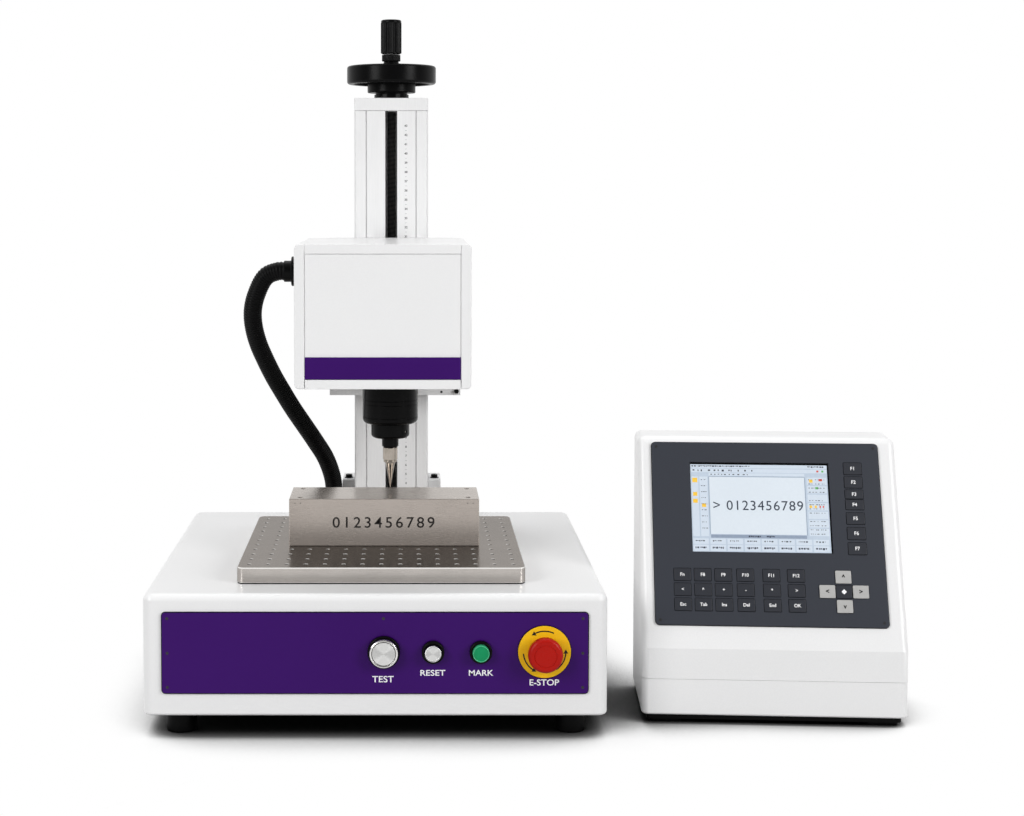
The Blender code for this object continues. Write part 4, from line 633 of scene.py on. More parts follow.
def make_hose_glands():
    """Flange and cuff at the head, and the gland nut on the housing."""
    face = Vector((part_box("head_hose_gland")[1].x, HOSE_EXIT.y, HOSE_EXIT.z))
    flange = [(9.2, 0), (15, 0), (15, 6.8), (14.4, 7.4), (11.4, 7.4), (10.75, 8.0), (10.75, 14.4),
              (10.4, 15), (9.75, 15), (9.6, 14.6), (9.2, 14.6)]
    dress(turned_piece("head_hose_flange", flange, face, LEFTWARDS, edge=0.15),
          "head_carriage", "black_plastic", BLACK_PLASTIC, "head_hose_gland")
    foot = Vector((HOSE_FOOT.x, HOSE_FOOT.y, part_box("base_hose_gland")[0].z))
    nut = turned_piece("hose_foot_gland", [(6.5, 0), (13.5, 0), (13.5, 3.2), (12.6, 3.6), (12.6, 9.6),
                                           (11.2, 12), (6.5, 12)], foot, UPWARDS, edge=0.2)
    dress(nut, "base", "black_plastic", BLACK_PLASTIC, "base_hose_gland")


# Housing, front panel and feet
HOUSING_CORNER = 10.0
HOUSING_TOP_ROUND = 7.0
HOUSING_FOOT_ROUND = 3.0
HOUSING_WALL = 5.0


def make_housing():
    """White housing, open below, with its rubber feet."""
    low, high = HOUSING_LOW, HOUSING_HIGH
    shell = box_piece("housing", low, high,
                      (along("Z"), HOUSING_CORNER * MM, 10),
                      (at_level("Z", high.z), HOUSING_TOP_ROUND * MM, 8),
                      (at_level("Z", low.z), HOUSING_FOOT_ROUND * MM, 4))
    remove_faces(shell, at_level("Z", low.z))
    apply_modifier(shell, "SOLIDIFY", thickness=HOUSING_WALL * MM, offset=-1)
    dress(shell, "base", "white_paint", WHITE_ENAMEL, "base_housing")
    for end in ("front_left", "front_right", "rear_left", "rear_right"):
        node = f"base_foot_{end}"
        place = middle(node)
        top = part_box(node)[1].z / MM
        outline = [(0, 0), (10.5, 0), (10.8, 0.8), (11.4, 0.8), (11.7, 0), (12.6, 0)]
        outline += round_corner(12.6, 1.4, 1.4, -90, 0)
        outline += [(14.0, top), (0, top)]
        foot = turned_piece(f"foot_{end}", outline, (place.x, place.y, 0), UPWARDS, edge=0.2)
        dress(foot, "base", "rubber", BLACK_RUBBER, node)


PANEL_CORNER = 3.0


def make_front_panel():
    """Purple panel on its dark seal, with small screws round its edge."""
    low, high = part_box("front_panel")
    panel = box_piece("purple_panel", low, high, (along("Y"), PANEL_CORNER * MM, 6),
                      (at_level("Y", low.y), 0.35 * MM, 3))
    dress(panel, "base", "purple_enamel", PURPLE_ENAMEL, "front_panel")
    lip = Vector((0.8 * MM, 0, 0.8 * MM))
    seal = box_piece("panel_seal", low - lip + Vector((0, 0.9 * MM, 0)),
                     high + lip, (along("Y"), (PANEL_CORNER + 0.8) * MM, 6))
    dress(seal, "base", "black_plastic", BLACK_PLASTIC)
    inset = 4.9 * MM
    left, right = low.x + inset, high.x - inset
    bottom, top = low.z + 5.6 * MM, high.z - 5.2 * MM
    centre = (low.z + high.z) / 2
    places = [(left, bottom), (left, centre), (left, top), (right, bottom), (right, centre),
              (right, top), (spot(7.8, 0, 0).x, top)]
    screw = flat_screw("panel_screw", 1.4, (0, 0, 0), FORWARDS, proud=0.25)
    moves = [Matrix.Translation((x, low.y, z)) for x, z in places]
    dress(copies("panel_screws", screw, moves), "base", "screw_steel", OILED_STEEL)


REAR_PANEL_THICKNESS = 2.0
INLET_WIDTH = 28.0
INLET_HEIGHT = 21.0
INLET_WALL = 2.0
INLET_DEPTH = 6.0
INLET_PINS = ((-7.0, -1.6), (0.0, 3.0), (7.0, -1.6))
CONNECTOR_RADIUS = 10.0
CONNECTOR_PINS = 5


def make_rear_panel():
    """Black panel behind with a three-pin mains inlet, a round connector and corner screws."""
    low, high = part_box("rear_socket_panel")
    face = low.y + REAR_PANEL_THICKNESS * MM
    centre = (low + high) / 2
    quarter = (high.x - low.x) / 4
    panel = box_piece("rear_panel", low, (high.x, face, high.z), (along("Y"), 3.0 * MM, 6),
                      (at_level("Y", face), 0.4 * MM, 3))
    half = Vector((INLET_WIDTH / 2 * MM, 0, INLET_HEIGHT / 2 * MM))
    wall = Vector((INLET_WALL * MM, 0, INLET_WALL * MM))
    inlet = Vector((centre.x - quarter, low.y + MM, centre.z))
    depth = Vector((0, high.y - inlet.y, 0))
    cut(panel, box_piece("inlet_body", inlet - half, inlet + half + depth, (along("Y"), 2.0 * MM, 5),
                         (at_level("Y", high.y), 0.5 * MM, 3)), "UNION")
    floor = Vector((0, depth.y - INLET_DEPTH * MM, 0))
    cut(panel, box_piece("inlet_hollow", inlet - half + wall + floor, inlet + half - wall + depth * 2,
                         (along("Y"), 1.5 * MM, 4)))
    dress(panel, "base", "black_plastic", BLACK_PLASTIC, "rear_socket_panel")
    pins = []
    for across, up in INLET_PINS:
        place = inlet + floor + Vector((across * MM, 0, up * MM))
        pins.append(box_piece("inlet_pin", place - Vector((MM, 0.2 * MM, 2 * MM)),
                              place + Vector((MM, 4.4 * MM, 2 * MM)), (lambda ends: True, 0.3 * MM, 2)))
    dress(join("inlet_pins", pins), "base", "machined_metal", MACHINED_METAL)

    socket = Vector((centre.x + quarter, face, centre.z))
    ring = [(0, -0.6), (CONNECTOR_RADIUS, -0.6)]
    for height in (1.0, 2.0, 3.0):
        ring += [(CONNECTOR_RADIUS, height), (CONNECTOR_RADIUS - 0.35, height + 0.5)]
    ring += [(CONNECTOR_RADIUS, 4.2), (CONNECTOR_RADIUS - 0.6, 4.9), (8.5, 4.9), (8.0, 4.4), (8.0, 0.4),
             (0, 0.4)]
    dress(turned_piece("rear_connector", ring, socket, BACKWARDS, edge=0.05), "base", "black_plastic",
          BLACK_METAL)
    pin = turned_piece("connector_pin", [(0, 0), (0.6, 0), (0.6, 3.0), (0.3, 3.4), (0, 3.4)],
                       (0, 0, 0), BACKWARDS, sides=16)
    moves = []
    for number in range(CONNECTOR_PINS):
        angle = math.tau * number / CONNECTOR_PINS
        moves.append(Matrix.Translation(socket + Vector((4.4 * MM * math.cos(angle), 0.2 * MM,
                                                         4.4 * MM * math.sin(angle)))))
    dress(copies("connector_pins", pin, moves), "base", "brass", PLAIN_BRASS)
    screw = flat_screw("rear_panel_screw", 1.8, (0, 0, 0), BACKWARDS, proud=0.3)
    corners = [Matrix.Translation((centre.x + side * (high.x - low.x - 10 * MM) / 2, face,
                                   centre.z + end * (high.z - low.z - 10 * MM) / 2))
               for side in (-1, 1) for end in (-1, 1)]
    dress(copies("rear_panel_screws", screw, corners), "base", "screw_steel", OILED_STEEL)


BUTTON_LABELS = (
    ("TEST", 383.0, 679.2, 6.7, 1.12),
    ("RESET", 432.5, 672.8, 6.1, 1.18),
    ("MARK", 480.5, 672.8, 6.1, 1.12),
    ("E-STOP", 543.8, 682.5, 6.5, 1.08),
)
LABEL_SHRINK = 0.86
MM_PER_PIXEL = 0.9227
AXIS_PIXEL = 408
HORIZON_PIXEL = 172
EYE_X = 30.4
EYE_Z = 525


def front_spot(pixel_x, pixel_y):
    """Where a pixel of the photograph's frame meets the housing's front face."""
    return spot((pixel_x - AXIS_PIXEL) * MM_PER_PIXEL + EYE_X, 0,
                EYE_Z - (pixel_y - HORIZON_PIXEL) * MM_PER_PIXEL)


def make_button_labels():
    """White words under the buttons."""
    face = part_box("front_panel")[0].y
    for words, pixel_x, pixel_y, height, width in BUTTON_LABELS:
        place = front_spot(pixel_x, pixel_y)
        place.y = face
        lettering("label_" + words.lower().replace("-", "_"), words, height * LABEL_SHRINK,
                  facing_front(place, width), "base", "white_paint", WHITE_PRINT, bold=0.10)


def make_bezel(name, radius, recess, node):
    """Round black bezel that a button slides in."""
    low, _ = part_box(node)
    place = middle(node)
    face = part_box("front_panel")[0].y
    height = (face - low.y) / MM
    outline = [(recess, 0.3), (radius, 0.3), (radius, height - 1.4)]
    outline += round_corner(radius - 1.2, height - 1.2, 1.2, 0, 90)
    outline += [(recess + 0.5, height), (recess, height - 0.5)]
    piece = turned_piece(name, outline, (place.x, face, place.z), FORWARDS, edge=0.1)
    dress(piece, "base", "black_plastic", BLACK_PLASTIC, node)


def cap_place(node):
    """Where a cap's axis meets the panel, and how far the cap stands out in millimetres."""
    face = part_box("front_panel")[0].y
    place = middle(node)
    return Vector((place.x, face, place.z)), (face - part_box(node)[0].y) / MM


def make_push_buttons():
    """Bezels and caps of the three push buttons."""
    make_bezel("test_button_bezel", 15.0, 13.6, "test_bezel")
    make_bezel("reset_button_bezel", 10.5, 8.0, "reset_bezel")
    make_bezel("mark_button_bezel", 10.5, 8.0, "mark_bezel")

    centre, front = cap_place("test_cap")
    rim = [(11.0, 2.9), (13.3, 2.9), (13.3, front - 1.2), (12.9, front - 0.4),
           (12.1, front), (11.4, front - 0.2), (11.0, front - 0.9)]
    dress(turned_piece("test_button_rim", rim, centre, FORWARDS, edge=0.08), "test_button",
          "machined_metal", MACHINED_METAL)
    inner = [(0, 2.9), (10.8, 2.9), (10.8, front - 0.75), (10.55, front - 0.35),
             (10.1, front - 0.3), (0, front - 0.3)]
    metal = make_turned_metal("turned_test_face", centre, (0.74, 0.74, 0.73), (0.60, 0.60, 0.59), 0.30)
    dress(turned_piece("test_button_face", inner, centre, FORWARDS, sides=128, edge=0.06),
          "test_button", "machined_metal", metal, "test_cap")

    centre, front = cap_place("reset_cap")
    cap = [(0, 2.9), (7.7, 2.9), (7.7, front - 0.9), (7.4, front - 0.25), (6.9, front),
           (6.4, front - 0.15), (6.15, front - 0.45), (0, front - 0.45)]
    metal = make_turned_metal("turned_reset_face", centre, (0.74, 0.74, 0.73), (0.58, 0.58, 0.57), 0.30)
    dress(turned_piece("reset_button_cap", cap, centre, FORWARDS, sides=128, edge=0.06),
          "reset_button", "machined_metal", metal, "reset_cap")

    centre, front = cap_place("mark_cap")
    rim = [(6.6, 2.9), (7.7, 2.9), (7.7, front - 0.8), (7.45, front - 0.2), (7.0, front),
           (6.65, front - 0.3)]
    dress(turned_piece("mark_button_rim", rim, centre, FORWARDS, edge=0.06), "mark_button",
          "green_plastic", GREEN_RIM)
    lens = [(0, 2.9), (6.55, 2.9), (6.55, front - 0.5)]
    lens += [(5.4, front - 0.32), (3.5, front - 0.2), (1.8, front - 0.14), (0, front - 0.12)]
    dress(turned_piece("mark_button_cap", lens, centre, FORWARDS, sides=128), "mark_button",
          "green_plastic", GREEN_CAP, "mark_cap")


KNOB_THICKNESS = 9.0
TURN_ARROW_RADIUS = 19.5
TURN_ARROW_SWEEP = 52
TURN_ARROW_HEIGHT = 0.08


def make_emergency_stop():
    """Yellow ring with turning arrows, collar and red mushroom head."""
    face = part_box("front_panel")[0].y
    place = middle("estop_knob")
    centre = Vector((place.x, face, place.z))
    ring_front = (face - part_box("estop_legend_ring")[0].y) / MM
    outline = [(11.5, 0.3), (24.25, 0.3), (24.25, ring_front - 0.45)]
    outline += round_corner(23.8, ring_front - 0.45, 0.45, 0, 90, 3) + [(11.5, ring_front)]
    dress(turned_piece("stop_ring", outline, centre, FORWARDS, sides=128), "base",
          "yellow_plastic", YELLOW_PLASTIC, "estop_legend_ring")
    edge = [(24.28, 0.25), (24.7, 0.25), (24.7, ring_front - 0.6), (24.28, ring_front - 0.45)]
    dress(turned_piece("stop_ring_edge", edge, centre, FORWARDS, sides=128), "base",
          "black_plastic", BLACK_PLASTIC)
    collar_front = (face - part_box("estop_collar")[0].y) / MM
    collar = [(6.5, ring_front), (13.5, ring_front), (13.5, collar_front - 0.3),
              (13.2, collar_front), (6.5, collar_front)]
    dress(turned_piece("stop_collar", collar, centre, FORWARDS), "base", "red_plastic",
          RED_PLASTIC, "estop_collar")
    back = (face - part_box("estop_knob")[0].y) / MM - KNOB_THICKNESS
    front = back + KNOB_THICKNESS
    knob = [(0, back - 3.6), (6.0, back - 3.6), (6.0, back), (14.6, back)]
    knob += round_corner(14.8, back + 1.2, 1.2, -90, 0, 4)
    knob += round_corner(12.4, front - 3.6, 3.6, 0, 84, 9)
    knob += [(10.5, front - 0.02), (10.25, front - 0.35), (9.95, front - 0.35), (9.7, front - 0.02),
             (5.0, front), (0, front)]
    dress(turned_piece("stop_knob", knob, centre, FORWARDS, sides=128), "estop_button",
          "red_plastic", RED_PLASTIC, "estop_knob")

    arrows = []
    for turn in (90, 210, 330):
        arc = turned_piece("turn_arrow", [(18.9, 0), (20.1, 0), (20.1, TURN_ARROW_HEIGHT),
                                          (18.9, TURN_ARROW_HEIGHT)], (0, 0, 0), UPWARDS)
        remove_faces(arc, lambda corners: math.degrees(math.atan2(
            sum(c.y for c in corners), sum(c.x for c in corners))) % 360 > TURN_ARROW_SWEEP)
        deselect()
        bpy.ops.mesh.primitive_cylinder_add(vertices=3, radius=2.6 * MM, depth=TURN_ARROW_HEIGHT * MM,
                                            location=(0, 0, TURN_ARROW_HEIGHT / 2 * MM))
        head = bpy.context.active_object
        around = math.radians(TURN_ARROW_SWEEP + 4)
        head.data.transform(Matrix.Translation((TURN_ARROW_RADIUS * MM * math.cos(around),
                                                TURN_ARROW_RADIUS * MM * math.sin(around), 0))
                            @ Matrix.Rotation(around, 4, "Z"))
        arrow = join("turn_arrow", [arc, head])
        arrow.data.transform(Matrix.Rotation(math.radians(turn - TURN_ARROW_SWEEP / 2), 4, "Z"))
        arrows.append(arrow)
    marks = join("stop_ring_arrows", arrows)
    stand(marks, Vector((centre.x, face - ring_front * MM, centre.z)), FORWARDS)
    dress(marks, "base", "black_plastic", BLACK_PRINT, weighted=False)


make_housing()
make_front_panel()
make_rear_panel()
make_button_labels()
make_push_buttons()
make_emergency_stop()
make_hose_glands()

# Work plate and block
HOLE_COLUMNS = 15
HOLE_ROWS = 11
HOLE_PITCH_X = 18.0
HOLE_PITCH_Y = 22.0
HOLE_RADIUS = 2.0
HOLE_MOUTH = 2.3
PLATE_CORNER = 7.0
# How far the black sheet of painted shade under the plate is set in.
GAP_SHADE_INSET = 0.3
# Width and colour of the painted highlights along the plate's top and bottom edges.
PAINTED_HIGHLIGHT_BAND = 1.0
PAINTED_HIGHLIGHT_STEEL = (0.88, 0.86, 0.83)


def paint_edge_highlights(surface, low, high, band, colour):
    """Painted highlights on the edges: narrow bands of a brighter colour under the top and over the bottom
    of a piece.
    """
    tree = surface.node_tree
    shader = tree.nodes["Principled BSDF"]
    plain = shader.inputs["Base Color"].links[0].from_socket
    place = add_node(tree, "TexCoord").outputs["Object"]
    height = add_node(tree, "SeparateXYZ", {"Vector": place}).outputs["Z"]
    rise = add_node(tree, "Math", {0: height, 1: (low + high) / 2}, operation="SUBTRACT")
    away = add_node(tree, "Math", {0: rise.outputs[0]}, operation="ABSOLUTE").outputs[0]
    half = (high - low) / 2
    outside = add_node(tree, "Math", {0: away, 1: half - band}, operation="GREATER_THAN")
    inside = add_node(tree, "Math", {0: away, 1: half - 0.03 * MM}, operation="LESS_THAN")
    # Mask of the painted highlight bands.
    edge = add_node(tree, "Math", {0: outside.outputs[0], 1: inside.outputs[0]}, operation="MULTIPLY")
    tone = add_node(tree, "Mix", {MIX_FACTOR: edge.outputs[0], MIX_A: plain, MIX_B: (*colour, 1)},
                    data_type="RGBA")
    tree.links.new(tone.outputs[MIX_RESULT], shader.inputs["Base Color"])


def make_work_plate():
    """Ground steel plate with countersunk holes and painted highlights along its edges; black linings in
    the holes and a black sheet in the gap under it are painted shade.
    """
    low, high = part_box("work_plate")
    plate = box_piece("drilled_plate", low, high, (along("Z"), PLATE_CORNER * MM, 8),
                      (at_level("Z", high.z), 0.9 * MM, 1), (at_level("Z", low.z), 1.2 * MM, 3))
    drill = turned_piece("plate_drill", [(0, -9), (HOLE_RADIUS, -9), (HOLE_RADIUS, -0.3), (HOLE_MOUTH, 0),
                                         (HOLE_MOUTH, 0.5), (0, 0.5)], (0, 0, 0), UPWARDS, sides=12)
    # Black linings just under the holes' mouths: painted shade.
    shade = turned_piece("plate_hole_shades", [(0, -8.9), (HOLE_RADIUS - 0.05, -8.9),
                                               (HOLE_RADIUS - 0.05, -0.4), (0, -0.4)],
                         (0, 0, 0), UPWARDS, sides=12)
    centre = (low + high) / 2
    corner = Vector((centre.x - (HOLE_COLUMNS - 1) / 2 * HOLE_PITCH_X * MM,
                     centre.y - (HOLE_ROWS - 1) / 2 * HOLE_PITCH_Y * MM, high.z))
    for tool in (drill, shade):
        tool.data.transform(Matrix.Translation(corner))
        for count, step in ((HOLE_COLUMNS, (HOLE_PITCH_X * MM, 0, 0)),
                            (HOLE_ROWS, (0, HOLE_PITCH_Y * MM, 0))):
            apply_modifier(tool, "ARRAY", count=count, use_relative_offset=False,
                           use_constant_offset=True, constant_offset_displace=step)
    cut(plate, drill)
    # Painted highlights along the plate's top and bottom edges.
    paint_edge_highlights(PLATE_STEEL, low.z, high.z, PAINTED_HIGHLIGHT_BAND * MM, PAINTED_HIGHLIGHT_STEEL)
    dress(plate, "base", "plate_steel", PLATE_STEEL, "work_plate", angle=20)
    dress(shade, "base", "screw_steel", PAINTED_HOLE_SHADE)
    # A black sheet in the thin gap under the plate: painted shade.
    inset = Vector((GAP_SHADE_INSET * MM, GAP_SHADE_INSET * MM, 0))
    gap_shade_low = Vector((low.x, low.y, HOUSING_HIGH.z - 0.2 * MM)) + inset
    gap_shade_high = Vector((high.x, high.y, low.z + 0.6 * MM)) - inset
    gap_shade = box_piece("plate_gap_shade", gap_shade_low, gap_shade_high, (along("Z"), (PLATE_CORNER - GAP_SHADE_INSET) * MM, 8))
    dress(gap_shade, "base", "rubber", BLACK_RUBBER)


BLOCK_HOLE_X = 84.0
BLOCK_HOLE_Y = 24.25
EDGE_PIN_X = 89.0
EDGE_PIN_PITCH = 5.5


def make_work_block():
    """Steel block with four plugged holes in its top, small pins near its edge and digits in front."""
    low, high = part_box("work_block")
    block = box_piece("marked_block", low, high, (along("Z"), 0.6 * MM, 3),
                      (at_level("Z", high.z), 0.7 * MM, 2), (at_level("Z", low.z), 0.9 * MM, 1))
    centre = (low + high) / 2
    moves = []
    for side in (-1, 1):
        for depth in (-1, 1):
            moves.append(Matrix.Translation((centre.x + side * BLOCK_HOLE_X * MM,
                                             centre.y + depth * BLOCK_HOLE_Y * MM, high.z)))
    drill = turned_piece("block_drill", [(0, -6), (2.5, -6), (2.5, -0.4), (2.9, 0), (2.9, 0.5),
                                         (0, 0.5)], (0, 0, 0), UPWARDS, sides=24)
    cut(block, copies("block_drills", drill, moves))
    dress(block, "block", "plate_steel", BLOCK_STEEL, "work_block")
    plug = turned_piece("block_plug", [(0, -5), (2.45, -5), (2.45, -0.9), (2.1, -0.5), (1.3, -0.5),
                                       (1.1, -2), (0, -2)], (0, 0, 0), UPWARDS, sides=24)
    dress(copies("block_plugs", plug, moves), "block", "screw_steel", OILED_STEEL)
    pins = []
    for side in (-1, 1):
        for step in (0, EDGE_PIN_PITCH):
            pins.append(Matrix.Translation((centre.x + side * (EDGE_PIN_X - step) * MM, low.y,
                                            high.z - 4.2 * MM)))
    pin = turned_piece("edge_pin", [(0, -0.5), (0.55, -0.5), (0.5, 0.06), (0, 0.06)], (0, 0, 0),
                       FORWARDS, sides=16)
    dress(copies("block_edge_pins", pin, pins), "block", "screw_steel", OILED_STEEL)
    lettering("block_digits", "0123456789", 10.8, facing_front(
        Vector((centre.x - 0.5 * MM, low.y, centre.z - 0.6 * MM)), 1.05), "block",
        "black_plastic", BLACK_PRINT, depth=0.03, spacing=1.3, bold=0.1)


# Column and handwheel
SCALE_OFFSET = 16.0
SCALE_START = 10.0
SCALE_STEP = 10.0


def make_column():
    """Column with its cap, brackets, bolts and height scale."""
    low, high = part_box("column_cap")
    cap = box_piece("column_lid", low, high, (along("Z"), 1.5 * MM, 4),
                    (at_level("Z", high.z), 0.7 * MM, 3), (at_level("Z", low.z), 0.4 * MM, 2))
    screw_x = middle("lead_screw").x
    screw_y = middle("lead_screw").y
    hole = turned_piece("lid_hole", [(0, -20), (5.1, -20), (5.1, 20), (0, 20)],
                        (screw_x, screw_y, (low.z + high.z) / 2), UPWARDS, sides=48)
    cut(cap, hole)
    dress(cap, "base", "white_aluminium", WHITE_COATING, "column_cap")
    for side in ("left", "right"):
        low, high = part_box(f"column_foot_{side}")
        bracket = box_piece(f"column_bracket_{side}", low, high,
                            (at_level("Z", high.z), 2.0 * MM, 5), (along("Z"), 0.8 * MM, 3))
        dress(bracket, "base", "white_aluminium", WHITE_COATING, f"column_foot_{side}")
        place = Vector(((low.x + high.x) / 2, low.y + 9 * MM, high.z))
        bolt = socket_screw(f"bracket_bolt_{side}", 3.7, 3.9, 1.9, place, UPWARDS)
        dress(bolt, "base", "screw_steel", BLACK_METAL)
        washer = turned_piece(f"bracket_washer_{side}", [(3.9, 0), (4.9, 0), (4.9, 0.7), (3.9, 0.7)],
                              place, UPWARDS, sides=48)
        dress(washer, "base", "screw_steel", OILED_STEEL)

    column_low, column_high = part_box("column_profile")
    centre_x = (column_low.x + column_high.x) / 2
    tick = box_piece("tick", (-0.75 * MM, -0.04 * MM, -0.11 * MM), (0.75 * MM, 0.02 * MM, 0.11 * MM))
    moves = []
    count = int((column_high.z - column_low.z) / MM / (SCALE_STEP / 2)) - 4
    for number in range(1, count, 2):
        height = column_low.z + (SCALE_START + number * SCALE_STEP / 2) * MM
        moves.append(Matrix.Translation((centre_x + SCALE_OFFSET * MM, column_low.y, height)))
    dress(copies("scale_ticks", tick, moves), "base", "screw_steel", GREY_PRINT, weighted=False)
    digits = []
    for number in range(0, count, 2):
        height = column_low.z + (SCALE_START + number * SCALE_STEP / 2) * MM
        place = Vector((centre_x + SCALE_OFFSET * MM, column_low.y, height))
        digits.append(lettering(f"scale_digit_{number}", str(number // 2), 2.3, facing_front(place),
                                "base", "screw_steel", GREY_PRINT, depth=0.03, bold=0.08))
    joined = join("scale_digits", digits)
    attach(joined, "base")


def make_handwheel():
    """Dished black handwheel with its hub."""
    low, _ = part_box("handwheel")
    place = Vector((middle("lead_screw").x, middle("lead_screw").y, low.z))
    outline = [(4.8, 0), (17.5, 0), (17.5, 1.6), (25.0, 1.6)]
    outline += round_corner(25.3, 2.8, 1.2, -90, 0, 4)
    outline += [(26.5, 13.6), (28.0, 15.5), (40.0, 15.5), (42.0, 14.0), (42.0, 12.4)]
    outline += round_corner(43.2, 12.2, 1.2, 180, 270, 3)
    outline += round_corner(46.0, 14.0, 3.0, -90, 0, 7)
    outline += round_corner(46.2, 28.2, 2.8, 0, 90, 7)
    outline += [(44.0, 30.9), (41.0, 30.3), (27.0, 29.6), (24.5, 28.8), (14.0, 28.8), (12.0, 29.2),
                (11.4, 30.8), (10.6, 31.0), (4.8, 31.0)]
    wheel = turned_piece("black_handwheel", outline, place, UPWARDS, sides=160, edge=0.25)
    dress(wheel, "handwheel_screw", "black_plastic", BLACK_PLASTIC, "handwheel")
    top = turned_piece("screw_end", [(0, 24), (4.7, 24), (4.7, 30.4), (4.2, 30.9), (0, 30.9)], place,
                       UPWARDS, sides=48)
    dress(top, "handwheel_screw", "screw_steel", OILED_STEEL)


make_work_plate()
make_work_block()
make_column()
make_handwheel()

# Grip and lead screw
def ribbed_piece(name, radius, depth, ribs, steps, low, high):
    """Upright bar whose side has rounded ribs, in millimetres."""
    deselect()
    bpy.ops.mesh.primitive_circle_add(vertices=ribs * steps, radius=radius * MM, fill_type="NGON",
                                      location=(0, 0, low * MM))
    piece = bpy.context.active_object
    piece.name = name
    bpy.ops.object.transform_apply(location=True, rotation=True, scale=True)
    edit(piece, "VERT")
    for step in range(steps):
        inset = depth * abs(math.cos(math.pi * step / steps)) ** 1.5
        mesh = bmesh.from_edit_mesh(piece.data)
        for number, vert in enumerate(mesh.verts):
            vert.select_set(number % steps == step)
        bmesh.update_edit_mesh(piece.data)
        factor = (radius - inset) / radius
        bpy.ops.transform.resize(value=(factor, factor, 1), center_override=(0, 0, low * MM))
    bpy.ops.mesh.select_all(action="SELECT")
    bpy.ops.mesh.extrude_region_move(TRANSFORM_OT_translate={"value": (0, 0, (high - low) * MM)})
    bpy.ops.mesh.select_all(action="SELECT")
    bpy.ops.mesh.normals_make_consistent(inside=False)
    leave_edit()
    return piece


def make_grip():
    """Fluted crank grip that spins on its bolt, with the knurled collar under it."""
    low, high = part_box("handwheel_grip")
    centre = (low + high) / 2
    foot = Vector((centre.x, centre.y, 0))
    bottom, top = low.z / MM, high.z / MM
    flutes = ribbed_piece("grip_flutes", 11.4, 0.9, 16, 8, bottom + 1.0, top - 3.6)
    soften(flutes, 0.25 * MM, 2, 50)
    flutes.data.transform(Matrix.Translation(foot))
    dress(flutes, "grip", "black_plastic", BLACK_PLASTIC, "handwheel_grip", angle=50)
    rounds = [(0, top - 4.4), (10.5, top - 4.4), (11.0, top - 3.4), (11.0, top - 2.2)]
    rounds += round_corner(9.2, top - 2.0, 1.8, 0, 90, 6) + [(0, top)]
    dress(turned_piece("grip_end", rounds, foot, UPWARDS), "grip", "black_plastic", BLACK_PLASTIC)
    dress(turned_piece("grip_foot", [(0, bottom), (9.6, bottom), (10.6, bottom + 0.8),
                                     (10.6, bottom + 1.6), (0, bottom + 1.6)], foot, UPWARDS),
          "grip", "black_plastic", BLACK_PLASTIC)
    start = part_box("grip_bolt")[0].z / MM
    neck = turned_piece("grip_neck", [(0, start), (8.8, start), (8.2, start + 1.2),
                                      (7.9, start + 2.8), (0, start + 2.8)], foot, UPWARDS, edge=0.15)
    dress(neck, "handwheel_screw", "black_metal", BLACK_METAL)
    collar = ribbed_piece("grip_collar", 10.2, 0.5, 48, 4, start + 2.7, start + 9.4)
    soften(collar, 0.5 * MM, 2, 50)
    collar.data.transform(Matrix.Translation(foot))
    dress(collar, "handwheel_screw", "black_metal", BLACK_METAL, "grip_bolt", angle=50)


THREAD_PITCH = 5.0


def make_thread_material():
    """Dark lead screw with one helical groove round its axis."""
    made = bpy.data.materials.new("screw_thread")
    made.use_nodes = True
    tree = made.node_tree
    shader = tree.nodes["Principled BSDF"]
    shader.inputs["Metallic"].default_value = 0.4
    centre = middle("lead_screw")
    place = add_node(tree, "TexCoord").outputs["Object"]
    centred = add_node(tree, "Mapping", {"Vector": place, "Location": (-centre.x, -centre.y, 0)})
    parts = add_node(tree, "SeparateXYZ", {"Vector": centred.outputs["Vector"]})
    angle = add_node(tree, "Math", {0: parts.outputs["Y"], 1: parts.outputs["X"]},
                     operation="ARCTAN2")
    turns = add_node(tree, "Math", {0: angle.outputs[0], 1: math.tau}, operation="DIVIDE")
    height = add_node(tree, "Math", {0: parts.outputs["Z"], 1: THREAD_PITCH * MM},
                      operation="DIVIDE")
    along_thread = add_node(tree, "Math", {0: height.outputs[0], 1: turns.outputs[0]},
                            operation="SUBTRACT")
    wave = add_node(tree, "Math", {0: along_thread.outputs[0], 1: 0.5}, operation="PINGPONG")
    ridge = add_node(tree, "MapRange", {"Value": wave.outputs[0], "From Min": 0.14,
                                        "From Max": 0.34}, interpolation_type="SMOOTHSTEP")
    tone = add_node(tree, "Mix", {MIX_FACTOR: ridge.outputs["Result"],
                                  MIX_A: (0.026, 0.026, 0.026, 1), MIX_B: (0.046, 0.046, 0.045, 1)},
                    data_type="RGBA")
    rough = add_node(tree, "MapRange", {"Value": ridge.outputs["Result"], "To Min": 0.6,
                                        "To Max": 0.3})
    bump = add_node(tree, "Bump", {"Height": ridge.outputs["Result"], "Distance": 0.08 * MM,
                                   "Strength": 1.0})
    tree.links.new(tone.outputs[MIX_RESULT], shader.inputs["Base Color"])
    tree.links.new(rough.outputs["Result"], shader.inputs["Roughness"])
    tree.links.new(bump.outputs["Normal"], shader.inputs["Normal"])
    return made


# Marking head
HEAD_EDGE = 1.1
HEAD_CORNER = 4.5
SEAM_FILL = 0.19 * MM
HEAD_SCREW_DEPTHS = (14, 95, 176)
HEAD_SCREW_HEIGHTS = (5.0, 134.5)


